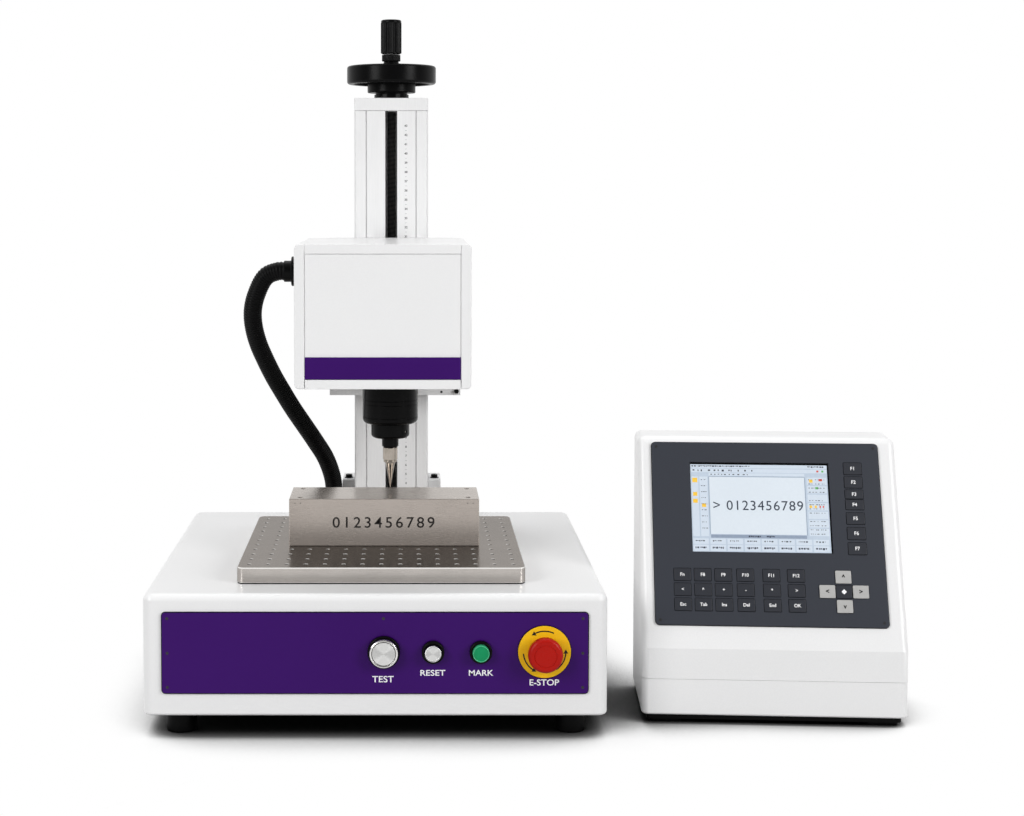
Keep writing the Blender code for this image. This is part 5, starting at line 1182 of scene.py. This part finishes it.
def make_head():
    """Cheeks, lid, front and back of the head, its purple band, its lip and its screws."""
    for side, outer in (("left", 0), ("right", 1)):
        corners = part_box(f"head_side_{side}")
        low, high = corners
        outer_x = corners[outer].x
        cheek = box_piece(f"head_cheek_{side}", low, high,
                          (lambda ends: along("Y")(ends) and near(ends[0].x, outer_x), HEAD_CORNER * MM, 8),
                          (at_level("Y", low.y), HEAD_EDGE * MM, 4), (at_level("Y", high.y), 0.8 * MM, 3))
        dress(cheek, "head_carriage", "white_paint", WHITE_ENAMEL, f"head_side_{side}")
    for node, name in (("head_top_plate", "head_lid"), ("head_front_panel", "head_front"),
                       ("head_back_plate", "head_back")):
        low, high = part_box(node)
        low = low - Vector((SEAM_FILL, 0, SEAM_FILL))
        high = high + Vector((SEAM_FILL, 0, 0 if node == "head_top_plate" else SEAM_FILL))
        plate = box_piece(name, low, high, (at_level("Y", low.y), 0.5 * MM, 3),
                          (at_level("Y", high.y), 0.4 * MM, 2))
        slot = "white_aluminium" if node == "head_back_plate" else "white_paint"
        dress(plate, "head_carriage", slot, WHITE_ENAMEL, node)
    low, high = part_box("head_band")
    band = box_piece("head_purple_band", low, high, (at_level("Y", low.y), 0.25 * MM, 2))
    dress(band, "head_carriage", "purple_enamel", PURPLE_ENAMEL, "head_band")
    low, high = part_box("head_base_plate")
    lip = box_piece("head_base_lip", low - Vector((0, 0.5 * MM, 0)),
                    (high.x, low.y + 2.0 * MM, high.z), (lambda ends: True, 0.35 * MM, 3))
    dress(lip, "head_carriage", "white_paint", WHITE_ENAMEL)

    screw = flat_screw("head_side_screw", 2.2, (0, 0, 0), LEFTWARDS, proud=0.3)
    moves = []
    left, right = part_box("head_side_left"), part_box("head_side_right")
    for depth in HEAD_SCREW_DEPTHS:
        for height in HEAD_SCREW_HEIGHTS:
            place = Vector((left[0].x, left[0].y + depth * MM, left[0].z + height * MM))
            moves.append(Matrix.Translation(place))
            place.x = right[1].x
            moves.append(Matrix.Translation(place) @ Matrix.Rotation(math.pi, 4, "Z"))
    dress(copies("head_side_screws", screw, moves), "head_carriage", "screw_steel", OILED_STEEL)


CLAMP_X = 82.6
CLAMP_BOTTOM = 286.2
CLAMP_TOP = 294.8
EAR_BOLT_LEVEL = 290.5
EAR_PIN_X = 66.5
EAR_PIN_LEVEL = 289.5


def make_carriage_ear():
    """Clamp block, bolt and pin on the ear of the carriage, under the right end of the head."""
    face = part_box("lift_carriage")[0].y
    clamp_x = spot(CLAMP_X, 0, 0).x
    clamp_front = face - 0.6 * MM
    clamp = box_piece("carriage_clamp", (clamp_x - 4.1 * MM, clamp_front, CLAMP_BOTTOM * MM),
                      (clamp_x + 4.3 * MM, face + 2.0 * MM, CLAMP_TOP * MM), (along("Y"), 1.6 * MM, 5),
                      (at_level("Y", clamp_front), 0.4 * MM, 2))
    dress(clamp, "head_carriage", "white_aluminium", WHITE_COATING)
    bolt = socket_screw("carriage_ear_bolt", 2.5, 2.6, 1.3, (0, 0, 0), FORWARDS)
    bolt.data.transform(Matrix.Translation((clamp_x, clamp_front, EAR_BOLT_LEVEL * MM)))
    dress(bolt, "head_carriage", "screw_steel", BLACK_METAL)
    pin = turned_piece("carriage_pin", [(0, -0.5), (1.3, -0.5), (1.2, 0.3), (0, 0.4)],
                       (spot(EAR_PIN_X, 0, 0).x, face, EAR_PIN_LEVEL * MM), FORWARDS, sides=24)
    dress(pin, "head_carriage", "screw_steel", OILED_STEEL)


# Marking stylus
def make_stylus():
    """Black barrel with its groove rings and set screw, nickel collet and hardened tip."""
    low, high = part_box("stylus_housing")
    place = middle("stylus_housing")
    axis = Vector((place.x, place.y, 0))
    bottom, top = low.z / MM, high.z / MM
    shoulder = bottom + 9.7
    barrel = bottom + 24.7
    outline = [(3.4, bottom), (7.6, bottom), (8.4, bottom + 0.8), (8.5, bottom + 5.0)]
    outline += [(8.5, shoulder - 0.4), (15.6, shoulder)]
    outline += round_corner(15.6, shoulder + 4.0, 4.0, -90, 0, 6)
    outline += [(19.6, barrel - 0.4), (23.4, barrel)]
    outline += round_corner(23.3, barrel + 5.0, 5.0, -80, 0, 6)
    for height, depth in ((barrel + 7.0, 0.9), (barrel + 20.4, 0.7), (barrel + 24.6, 0.7)):
        outline += [(28.3, height - 0.5), (28.3 - depth, height - 0.35), (28.3 - depth, height + 0.35),
                    (28.3, height + 0.5)]
    outline += [(28.3, top), (3.4, top)]
    body = turned_piece("stylus_barrel", outline, axis, UPWARDS, sides=128, edge=0.12)
    set_screw = turned_piece("set_screw_hole", [(0, -3), (1.7, -3), (1.7, 30), (0, 30)], (0, 0, 0),
                             UPWARDS, sides=24)
    sideways = Vector((0.82, -0.57, 0)).normalized()
    screw_axis = axis + Vector((0, 0, (shoulder + 7.0) * MM))
    stand(set_screw, screw_axis + sideways * 18.6 * MM, sideways)
    cut(body, set_screw)
    dress(body, "y_stage", "black_plastic", BLACK_METAL, "stylus_housing")
    plug = turned_piece("set_screw", [(0, 0), (1.6, 0), (1.6, 1.0), (0.9, 1.0), (0.8, 0.2), (0, 0.2)],
                        (0, 0, 0), UPWARDS, sides=24)
    stand(plug, screw_axis + sideways * 17.6 * MM, sideways)
    dress(plug, "y_stage", "screw_steel", MACHINED_METAL)

    low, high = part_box("stylus_collet")
    bottom, top = low.z / MM, high.z / MM
    outline = [(3.3, bottom), (6.6, bottom), (7.0, bottom + 0.5), (7.0, bottom + 1.4),
               (6.4, bottom + 1.7), (6.4, bottom + 2.3), (7.6, bottom + 2.8), (7.6, top - 0.6),
               (7.0, top), (3.3, top)]
    collet = turned_piece("nickel_collet", outline, axis, UPWARDS, edge=0.12)
    dress(collet, "y_stage", "nickel", NICKEL, "stylus_collet")
    low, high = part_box("stylus_pin")
    bottom, top = low.z / MM, high.z / MM
    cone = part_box("stylus_collet")[0].z / MM - 0.3
    outline = [(0, bottom), (0.15, bottom + 0.06), (0.3, bottom + 0.3), (1.7, bottom + 9.0),
               (4.6, cone - 0.8), (5.4, cone - 0.4), (5.4, cone), (3.0, cone), (3.0, top), (0, top)]
    pin = turned_piece("hardened_tip", outline, axis, UPWARDS, sides=64)
    dress(pin, "needle", "nickel", NICKEL, "stylus_pin")


# Controller
CONSOLE_X = 252.8
CONSOLE_Y = 46.4
CONSOLE_TURN = math.radians(-3.5)
CONSOLE_WIDE = 250.0
CONSOLE_DEEP = 125.0
CONSOLE_BOTTOM = 9.0
CONSOLE_SEAM = 43.6
CONSOLE_CREASE = 73.0
CONSOLE_LEAN = math.radians(22)
CONSOLE_SLOPE = 206.0
CONSOLE_ROUND = 7.0
CONSOLE_WALL = 3.0
CUT_REACH = 9
STRIP_INSET = 8.0
STRIP_WIDTH = 30.0
STRIP_TOP = 8.7
UNDERSIDE_SHADE_INSET = 5.0
KEYPAD_BOX = (-2.2, 110.8, 219.4, 177.6)
SCREEN_BOX = (-8.0, 135.8, 134.0, 88.0)
CONSOLE = Matrix.Translation(spot(CONSOLE_X, CONSOLE_Y, 0)) @ Matrix.Rotation(CONSOLE_TURN, 4, "Z")
SLOPE = (CONSOLE @ Matrix.Translation((CONSOLE_WIDE / 2 * MM, 0, CONSOLE_CREASE * MM))
         @ Matrix.Rotation(math.radians(90) - CONSOLE_LEAN, 4, "X"))


def slope_box(name, x, y, width, height, low, high, *rounds):
    """Box on the sloping face: centre, size, and its levels above the face."""
    return box_piece(name, ((x - width / 2) * MM, (y - height / 2) * MM, low * MM),
                     ((x + width / 2) * MM, (y + height / 2) * MM, high * MM), *rounds)


def make_console_case():
    """White cover, tray and rubber strips of the controller, and a black plate under the tray as painted
    shade.
    """
    top = CONSOLE_CREASE + CONSOLE_SLOPE * math.cos(CONSOLE_LEAN)
    run = CONSOLE_SLOPE * math.sin(CONSOLE_LEAN)
    cover = box_piece("controller_cover", (0, 0, (CONSOLE_SEAM + 0.15) * MM),
                      (CONSOLE_WIDE * MM, CONSOLE_DEEP * MM, top * MM))
    edit(cover, "EDGE")
    bpy.ops.mesh.select_all(action="SELECT")
    bpy.ops.mesh.bisect(plane_co=(0, 0, CONSOLE_CREASE * MM), plane_no=(0, 0, 1))
    bpy.ops.mesh.select_all(action="DESELECT")
    pick(cover, "edges", lambda ends: all(near(end.y, 0) and near(end.z, top * MM) for end in ends))
    bpy.ops.transform.translate(value=(0, run * MM, 0))
    bpy.ops.mesh.select_all(action="DESELECT")
    mesh = bmesh.from_edit_mesh(cover.data)
    for edge in mesh.edges:
        flat = edge.calc_face_angle(0) < CONSOLE_LEAN + math.radians(5)
        low_edge = all(vert.co.z < (CONSOLE_SEAM + 1) * MM for vert in edge.verts)
        edge.select_set(not flat and not low_edge)
    bmesh.update_edit_mesh(cover.data)
    bpy.ops.mesh.bevel(offset=CONSOLE_ROUND * MM, segments=7, profile=0.5, affect="EDGES",
                       clamp_overlap=True)
    leave_edit()
    remove_faces(cover, lambda corners: all(corner.z < (CONSOLE_SEAM + 1) * MM for corner in corners))
    apply_modifier(cover, "SOLIDIFY", thickness=CONSOLE_WALL * MM, offset=-1)
    window = slope_box("screen_opening", *SCREEN_BOX, -CUT_REACH, CUT_REACH)
    window.data.transform(CONSOLE.inverted() @ SLOPE)
    cut(cover, window)
    cover.data.transform(CONSOLE)
    dress(cover, "console", "white_paint", WHITE_ENAMEL, "console_cover", angle=20)

    tray = box_piece("controller_tray", (0, 0, CONSOLE_BOTTOM * MM),
                     (CONSOLE_WIDE * MM, CONSOLE_DEEP * MM, (CONSOLE_SEAM - 0.15) * MM),
                     (along("Z"), CONSOLE_ROUND * MM, 7),
                     (at_level("Z", CONSOLE_BOTTOM * MM), 2.4 * MM, 4))
    remove_faces(tray, at_level("Z", (CONSOLE_SEAM - 0.15) * MM))
    apply_modifier(tray, "SOLIDIFY", thickness=CONSOLE_WALL * MM, offset=-1)
    tray.data.transform(CONSOLE)
    dress(tray, "console", "white_paint", WHITE_ENAMEL, "console_tray")
    for side, x in (("left", STRIP_INSET), ("right", CONSOLE_WIDE - STRIP_INSET - STRIP_WIDTH)):
        strip = box_piece(f"controller_foot_{side}", (x * MM, STRIP_INSET * MM, 0),
                          ((x + STRIP_WIDTH) * MM, (CONSOLE_DEEP - STRIP_INSET) * MM, STRIP_TOP * MM),
                          (along("Z"), 4.0 * MM, 5), (at_level("Z", 0), 1.0 * MM, 3))
        strip.data.transform(CONSOLE)
        dress(strip, "console", "rubber", BLACK_RUBBER, f"console_foot_{side}")
    # Black plate under the tray, between the strips: painted shade.
    under = box_piece("controller_underside_shade", (UNDERSIDE_SHADE_INSET * MM, UNDERSIDE_SHADE_INSET * MM, 4.0 * MM),
                      ((CONSOLE_WIDE - UNDERSIDE_SHADE_INSET) * MM, (CONSOLE_DEEP - UNDERSIDE_SHADE_INSET) * MM,
                       9.2 * MM), (along("Z"), 4.0 * MM, 4))
    under.data.transform(CONSOLE)
    dress(under, "console", "rubber", BLACK_RUBBER)


KEY_COLUMNS = (-85.4, -66.0, -46.5, -25.6, -0.9, 22.4)
KEY_FIRST_ROW = 41.4
KEY_ROW_PITCH = 14.2
KEY_SIZE = (15.9, 11.8)
SIDE_KEY_X = 82.0
SIDE_KEY_WIDTH = 17.2
SIDE_KEY_ROWS = ((96.6, 11.4), (111.3, 11.8), (125.7, 11.2), (139.2, 9.6), (149.4, 8.6), (161.2, 11.0),
                 (174.6, 11.6))
ARROW_X = 66.9
ARROW_Y = 55.3
ARROW_PITCH_X = 15.7
ARROW_PITCH_Y = 13.9
ARROW_SIZE = (14.8, 12.2)
ARROW_STEPS = ((0, 1), (0, -1), (-1, 0), (1, 0))
ARROW_FOOT = 2.15
ARROW_FACE = 3.5
ARROW_GAP = 0.4
KEYPAD_FACE = 2.3
KEY_FACE = 2.9


def arrow_centre(across, up):
    """Middle of the arrow key that lies so many steps from the middle key."""
    return ARROW_X + across * ARROW_PITCH_X, ARROW_Y + up * ARROW_PITCH_Y


def make_keypad():
    """Dark keypad on its seal, open under the arrow keys, with raised keys and corner screws."""
    x, y, width, height = KEYPAD_BOX
    seal = slope_box("keypad_seal", x, y, width + 1, height + 1, 0.02, 1.2, (along("Z"), 4.4 * MM, 6))
    sheet = slope_box("keypad_sheet", x, y, width, height, 0.3, KEYPAD_FACE,
                      (along("Z"), 4.0 * MM, 6), (at_level("Z", KEYPAD_FACE * MM), 0.45 * MM, 3))
    for across, up in ARROW_STEPS:
        cut(sheet, slope_box("arrow_opening", *arrow_centre(across, up), ARROW_SIZE[0] + 2 * ARROW_GAP,
                             ARROW_SIZE[1] + 2 * ARROW_GAP, -CUT_REACH, CUT_REACH,
                             (along("Z"), 1.2 * MM, 3)))
    for piece in (seal, sheet):
        cut(piece, slope_box("sheet_window", *SCREEN_BOX, -CUT_REACH, CUT_REACH))
        piece.data.transform(SLOPE)
    dress(seal, "console", "black_plastic", BLACK_PLASTIC)
    dress(sheet, "console", "keypad_film", KEYPAD_FILM, "console_keypad")
    rounds = ((along("Z"), 0.9 * MM, 3), (at_level("Z", KEY_FACE * MM), 0.4 * MM, 2))
    places = [(column, KEY_FIRST_ROW + row * KEY_ROW_PITCH, *KEY_SIZE)
              for column in KEY_COLUMNS for row in range(3)]
    places += [(SIDE_KEY_X, level, SIDE_KEY_WIDTH, tall) for level, tall in SIDE_KEY_ROWS]
    places.append((ARROW_X, ARROW_Y, *ARROW_SIZE))
    keys = join("keypad_keys", [slope_box("key", *place, 1.3, KEY_FACE, *rounds) for place in places])
    keys.data.transform(SLOPE)
    dress(keys, "console", "keypad_film", KEY_TOP)
    wells = join("key_wells", [slope_box("key_well", column, level, wide + 0.9, tall + 0.9, 1.2,
                                         KEYPAD_FACE + 0.05, (along("Z"), 1.2 * MM, 3))
                               for column, level, wide, tall in places])
    wells.data.transform(SLOPE)
    dress(wells, "console", "black_plastic", BLACK_PLASTIC)
    screw = flat_screw("keypad_screw", 1.5, (0, 0, KEYPAD_FACE * MM), UPWARDS, proud=0.12)
    corners = [Matrix.Translation(((x + side * (width / 2 - 4.5)) * MM,
                                   (y + end * (height / 2 - 4.5)) * MM, 0))
               for side in (-1, 1) for end in (-1, 1)]
    screws = copies("keypad_screws", screw, corners)
    screws.data.transform(SLOPE)
    dress(screws, "console", "screw_steel", OILED_STEEL)


ARROW_LEGENDS = (("up", "^"), ("down", "v"), ("left", "<"), ("right", ">"))


def make_arrow_keys():
    """Four grey arrow keys round the plain middle key with its diamond."""
    for (direction, sign), (x, y) in zip(ARROW_LEGENDS, ARROW_STEPS):
        centre = arrow_centre(x, y)
        cap = slope_box(f"arrow_{direction}_key", *centre, *ARROW_SIZE, ARROW_FOOT, ARROW_FACE,
                        (along("Z"), 0.9 * MM, 3), (at_level("Z", ARROW_FACE * MM), 0.3 * MM, 2))
        cap.data.transform(SLOPE)
        dress(cap, f"key_{direction}", "arrow_key_grey", ARROW_KEY, f"arrow_key_{direction}")
        place = SLOPE @ Matrix.Translation((centre[0] * MM, centre[1] * MM, (ARROW_FACE + 0.02) * MM))
        lettering(f"arrow_{direction}_sign", sign, 4.2, place, f"key_{direction}", "black_plastic",
                  BLACK_PRINT, depth=0.03, bold=0.22)
    diamond = slope_box("keypad_diamond", 0, 0, 3.6, 3.6, KEY_FACE, KEY_FACE + 0.08)
    diamond.data.transform(SLOPE @ Matrix.Translation((ARROW_X * MM, ARROW_Y * MM, 0))
                           @ Matrix.Rotation(math.radians(45), 4, "Z"))
    dress(diamond, "console", "white_paint", WHITE_PRINT, weighted=False)


KEY_LEGENDS = (
    ("Esc", "Tab", "Ins", "Del", "End", "OK"),
    ("<", "^", "+", "-", "*", ">"),
    ("Fn", "F8", "F9", "F10", "F11", "F12"),
)


def make_legends():
    """White legends of the keys."""
    signs = []
    for row, words in enumerate(KEY_LEGENDS):
        for x, word in zip(KEY_COLUMNS, words):
            signs.append((word, x, KEY_FIRST_ROW + row * KEY_ROW_PITCH, 3.1))
    for number, (y, _) in enumerate(SIDE_KEY_ROWS):
        signs.append((f"F{len(SIDE_KEY_ROWS) - number}", SIDE_KEY_X, y, 3.3))
    made = []
    for number, (word, x, y, height) in enumerate(signs):
        place = SLOPE @ Matrix.Translation((x * MM, y * MM, (KEY_FACE + 0.03) * MM))
        made.append(lettering(f"legend_{number}", word, height, place, "console", "white_paint",
                              WHITE_PRINT, depth=0.03, bold=0.08))
    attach(join("key_legends", made), "console")


# Display
SCREEN_FACE = 1.5
PICTURE_LEFT = -76.2
PICTURE_TOP = 179.6
PICTURE_ACROSS = 0.959
PICTURE_DOWN = 0.9285
TAB_PITCH = 17.1


def glowing(name, colour, patch, glow):
    """Lit picture colour of the display."""
    made = make_material(name, colour, patch, (0.30, 0.34), patch_scale=12.0, grain_scale=400.0,
                         grain_depth=0.000001, Specular_IOR_Level=0.3)
    shader = made.node_tree.nodes["Principled BSDF"]
    shader.inputs["Emission Color"].default_value = (*colour, 1)
    shader.inputs["Emission Strength"].default_value = glow
    return made


def picture_place(across, down):
    """Place on the slope of a point of the picture, which is drawn 141 by 95 units large."""
    return ((PICTURE_LEFT + across * PICTURE_ACROSS) * MM, (PICTURE_TOP - down * PICTURE_DOWN) * MM)


def picture_piece(name, boxes, level, surface):
    """Flat picture marks joined in one piece: (left, top, right, bottom) from the picture's corner."""
    marks = []
    for left, top, right, bottom in boxes:
        low_x, low_y = picture_place(left, bottom)
        high_x, high_y = picture_place(right, top)
        marks.append(box_piece(name, (low_x, low_y, level * MM), (high_x, high_y, (level + 0.03) * MM)))
    piece = join(name, marks)
    piece.data.transform(SLOPE)
    return dress(piece, "console", "screen", surface, weighted=False)


def glyph_row(dice, left, right, top, height, gap):
    """Row of short marks that read as small writing."""
    boxes = []
    place = left
    while place < right:
        width = dice.uniform(0.5, 2.2)
        boxes.append((place, top, min(place + width, right), top + height * dice.uniform(0.6, 1.0)))
        place += width + dice.uniform(0.4, gap)
    return boxes


def make_display():
    """Recessed display with a generic editing page: bars, tool signs and a line of digits."""
    dice = random.Random(5)
    x, y, width, height = SCREEN_BOX
    frame_piece = slope_box("display_frame", x, y, width - 0.6, height - 0.6, -4.5, SCREEN_FACE,
                            (at_level("Z", SCREEN_FACE * MM), 0.3 * MM, 2))
    frame_piece.data.transform(SLOPE)
    dress(frame_piece, "console", "black_plastic", BLACK_PLASTIC, "console_screen")
    page = glowing("display_page", (0.46, 0.54, 0.64), (0.52, 0.60, 0.70), 0.10)
    paper = glowing("display_paper", (0.64, 0.70, 0.76), (0.67, 0.73, 0.79), 0.12)
    bar = glowing("display_bar", (0.26, 0.32, 0.42), (0.31, 0.37, 0.47), 0.05)
    pale = glowing("display_pale", (0.58, 0.65, 0.74), (0.62, 0.69, 0.77), 0.10)
    ink = glowing("display_ink", (0.035, 0.045, 0.07), (0.05, 0.06, 0.09), 0.0)
    amber = glowing("display_amber", (0.86, 0.52, 0.05), (0.90, 0.60, 0.10), 0.10)
    red = glowing("display_red", (0.62, 0.08, 0.05), (0.70, 0.12, 0.08), 0.05)
    green = glowing("display_green", (0.12, 0.42, 0.12), (0.16, 0.50, 0.16), 0.05)

    level = SCREEN_FACE
    picture_piece("picture_page", [(1.6, 1.9, 139.4, 94.2)], level, page)
    level += 0.04
    strips = [(2.0, 2.2, 139.0, 5.6), (2.0, 6.4, 139.0, 10.4), (20.0, 11.0, 116.5, 14.0)]
    strips += [(2.4 + step * TAB_PITCH, 80.4, 18.0 + step * TAB_PITCH, 86.2) for step in range(8)]
    strips += [(2.4 + step * TAB_PITCH, 87.0, 18.0 + step * TAB_PITCH, 93.4) for step in range(8)]
    strips += [(118.6, 15.0 + step * 9.0, 138.4, 22.6 + step * 9.0) for step in range(7)]
    strips += [(2.4, 15.0, 9.4, 78.0), (10.6, 15.0, 18.6, 78.0)]
    picture_piece("picture_strips", strips, level, pale)
    picture_piece("picture_paper", [(20.4, 15.2, 116.0, 75.6)], level, paper)
    picture_piece("picture_bar", [(20.4, 76.2, 116.0, 79.6), (20.4, 14.4, 116.0, 15.0),
                                  (19.6, 15.0, 20.2, 76.0), (116.2, 15.0, 116.9, 76.0)], level, bar)
    level += 0.04
    writing = glyph_row(dice, 3.0, 62.0, 3.0, 1.5, 1.0)
    writing += glyph_row(dice, 120.0, 136.0, 3.0, 1.5, 1.2)
    writing += glyph_row(dice, 4.0, 66.0, 7.4, 2.0, 7.0)
    writing += glyph_row(dice, 22.0, 60.0, 12.0, 1.2, 3.5)
    for row in range(9):
        writing += glyph_row(dice, 12.0, 17.6, 18.0 + row * 6.4, 0.8, 2.0)
    for row in range(14):
        if row % 5 != 4:
            writing += glyph_row(dice, 120.0, 136.0, 17.0 + row * 4.4, 0.8, 3.0)
    for step in range(8):
        writing += glyph_row(dice, 5.0 + step * TAB_PITCH, 14.5 + step * TAB_PITCH, 82.2, 1.4, 1.6)
        writing += glyph_row(dice, 4.5 + step * TAB_PITCH, 15.5 + step * TAB_PITCH, 89.0, 2.2, 1.0)
    writing += glyph_row(dice, 58.0, 70.0, 77.0, 1.8, 0.6)
    writing += glyph_row(dice, 76.0, 84.0, 77.0, 1.8, 0.6)
    picture_piece("picture_writing", writing, level, ink)
    picture_piece("picture_amber_signs", [(3.4, 16.4, 8.4, 21.2), (3.8, 31.6, 8.0, 35.6),
                                          (3.6, 38.8, 8.2, 43.0), (12.4, 43.6, 16.4, 47.4),
                                          (121.0, 17.0, 124.4, 20.4), (120.0, 44.6, 122.6, 47.2),
                                          (125.2, 44.6, 127.4, 47.2)], level, amber)
    picture_piece("picture_red_signs", [(130.6, 16.4, 134.0, 18.8), (128.8, 7.4, 130.8, 9.4),
                                        (130.0, 44.8, 131.4, 47.0), (133.2, 44.8, 134.6, 47.0)],
                  level, red)
    picture_piece("picture_green_signs", [(126.8, 25.0, 129.6, 27.4), (133.8, 7.4, 135.8, 9.4)],
                  level, green)
    place = SLOPE @ Matrix.Translation((*picture_place(68.6, 45.8), (level + 0.02) * MM))
    lettering("display_digits", "> 0123456789", 9.4, place, "console", "black_plastic", ink,
              depth=0.02, spacing=1.12)


make_grip()
make_head()
make_carriage_ear()
make_stylus()
make_console_case()
make_keypad()
make_arrow_keys()
make_legends()
make_display()


# Studio
SHADOW_REACH = 0.14
FLOOR_TONE = 0.34


def make_floor():
    """Pale floor, plain white in the open, that keeps the shadows beside and under the set, where its
    colour is also darkened by ambient occlusion as painted shadow.
    """
    deselect()
    bpy.ops.mesh.primitive_plane_add(size=60)
    floor = bpy.context.active_object
    floor.name = "studio_floor"
    made = bpy.data.materials.new("studio_white")
    made.use_nodes = True
    tree = made.node_tree
    shader = tree.nodes["Principled BSDF"]
    shader.inputs["Roughness"].default_value = 0.7
    shader.inputs["Specular IOR Level"].default_value = 0.1
    glow = add_node(tree, "Emission", {"Color": (1, 1, 1, 1), "Strength": 1.0})
    openness = add_node(tree, "AmbientOcclusion", {"Distance": SHADOW_REACH}, samples=24)
    far = add_node(tree, "MapRange", {"Value": openness.outputs["AO"], "From Min": 0.36,
                                      "From Max": 0.74}, interpolation_type="SMOOTHSTEP")
    # Floor colour darkened where ambient occlusion finds the set near: painted shadow.
    ao_painted_shadow = add_node(tree, "MapRange", {"Value": openness.outputs["AO"], "From Min": 0.15,
                                          "From Max": 0.60, "To Max": FLOOR_TONE})
    tree.links.new(ao_painted_shadow.outputs["Result"], shader.inputs["Base Color"])
    rays = add_node(tree, "LightPath")
    seen = add_node(tree, "Math", {0: rays.outputs["Is Camera Ray"], 1: rays.outputs["Is Glossy Ray"]},
                    operation="ADD")
    seen = add_node(tree, "Math", {0: seen.outputs[0], 1: rays.outputs["Is Transmission Ray"]},
                    operation="ADD", use_clamp=True)
    share = add_node(tree, "Math", {0: far.outputs["Result"], 1: seen.outputs[0]},
                     operation="MULTIPLY")
    mix = add_node(tree, "MixShader", {0: share.outputs[0], 1: shader.outputs["BSDF"],
                                       2: glow.outputs["Emission"]})
    tree.links.new(mix.outputs["Shader"], tree.nodes["Material Output"].inputs["Surface"])
    floor.data.materials.append(made)


ROOM_LIGHT = 0.44
ROOM_BEHIND_CAMERA = 0.10


def set_world():
    """Even room light. Camera, metal and glass see the white backdrop, darker behind the camera."""
    world = bpy.data.worlds.new("studio")
    world.use_nodes = True
    bpy.context.scene.world = world
    tree = world.node_tree
    direction = add_node(tree, "TexCoord").outputs["Generated"]
    parts = add_node(tree, "SeparateXYZ", {"Vector": direction})
    lifted = add_node(tree, "Math", {0: parts.outputs["Z"], 1: 0.6, 2: parts.outputs["Y"]},
                      operation="MULTIPLY_ADD")
    behind = add_node(tree, "MapRange", {"Value": lifted.outputs[0], "From Min": -0.5,
                                         "From Max": 0.5, "To Min": ROOM_BEHIND_CAMERA,
                                         "To Max": 1.0}, interpolation_type="SMOOTHSTEP")
    rays = add_node(tree, "LightPath")
    mirrored = add_node(tree, "Math", {0: rays.outputs["Is Glossy Ray"],
                                       1: rays.outputs["Is Transmission Ray"]},
                        operation="ADD", use_clamp=True)
    level = add_node(tree, "Mix", {0: mirrored.outputs[0], 2: ROOM_LIGHT,
                                   3: behind.outputs["Result"]}, data_type="FLOAT")
    level = add_node(tree, "Math", {0: level.outputs[0], 1: rays.outputs["Is Camera Ray"]},
                     operation="MAXIMUM")
    room = tree.nodes["Background"]
    room.inputs["Color"].default_value = (1, 1, 1, 1)
    tree.links.new(level.outputs[0], room.inputs["Strength"])


LAMPS = (
    ("lamp_above", (-0.1, 0.7, 2.1), (0, 0, 0.2), (1.8, 1.2), 11),
    ("lamp_front_left", (-2.0, -1.9, 1.3), (-0.1, 0, 0.22), (1.0, 1.4), 38),
    ("lamp_front_right", (2.2, -1.8, 1.3), (0, 0, 0.22), (1.0, 1.4), 43.3),
)


def set_lamps():
    """Soft boxes above and to both sides."""
    for name, place, target, size, power in LAMPS:
        light = bpy.data.lights.new(name, "AREA")
        light.shape = "RECTANGLE"
        light.size, light.size_y = size
        light.energy = power
        lamp = bpy.data.objects.new(name, light)
        bpy.context.scene.collection.objects.link(lamp)
        lamp.location = place
        aim = Vector(target) - Vector(place)
        lamp.rotation_euler = aim.to_track_quat("-Z", "Y").to_euler()


make_floor()
set_world()
set_lamps()

NODE_SURFACES = {
    "base_floor_plate": BLACK_METAL, "lift_carriage": WHITE_COATING, "column_profile": WHITE_COATING,
    "screw_bearing_top": BLACK_METAL, "screw_bearing_bottom": BLACK_METAL, "lift_nut": PLAIN_BRASS,
    "head_base_plate": WHITE_ENAMEL, "x_rod_front": MACHINED_METAL, "x_rod_rear": MACHINED_METAL,
    "x_motor": BLACK_METAL, "x_slide": BLACK_METAL, "x_drive_screw": MACHINED_METAL,
    "y_slide": BLACK_METAL, "lead_screw": make_thread_material(),
}
for node_name, node_surface in NODE_SURFACES.items():
    NODES[node_name].data.materials.clear()
    NODES[node_name].data.materials.append(node_surface)

bpy.context.scene.view_settings.view_transform = "Standard"
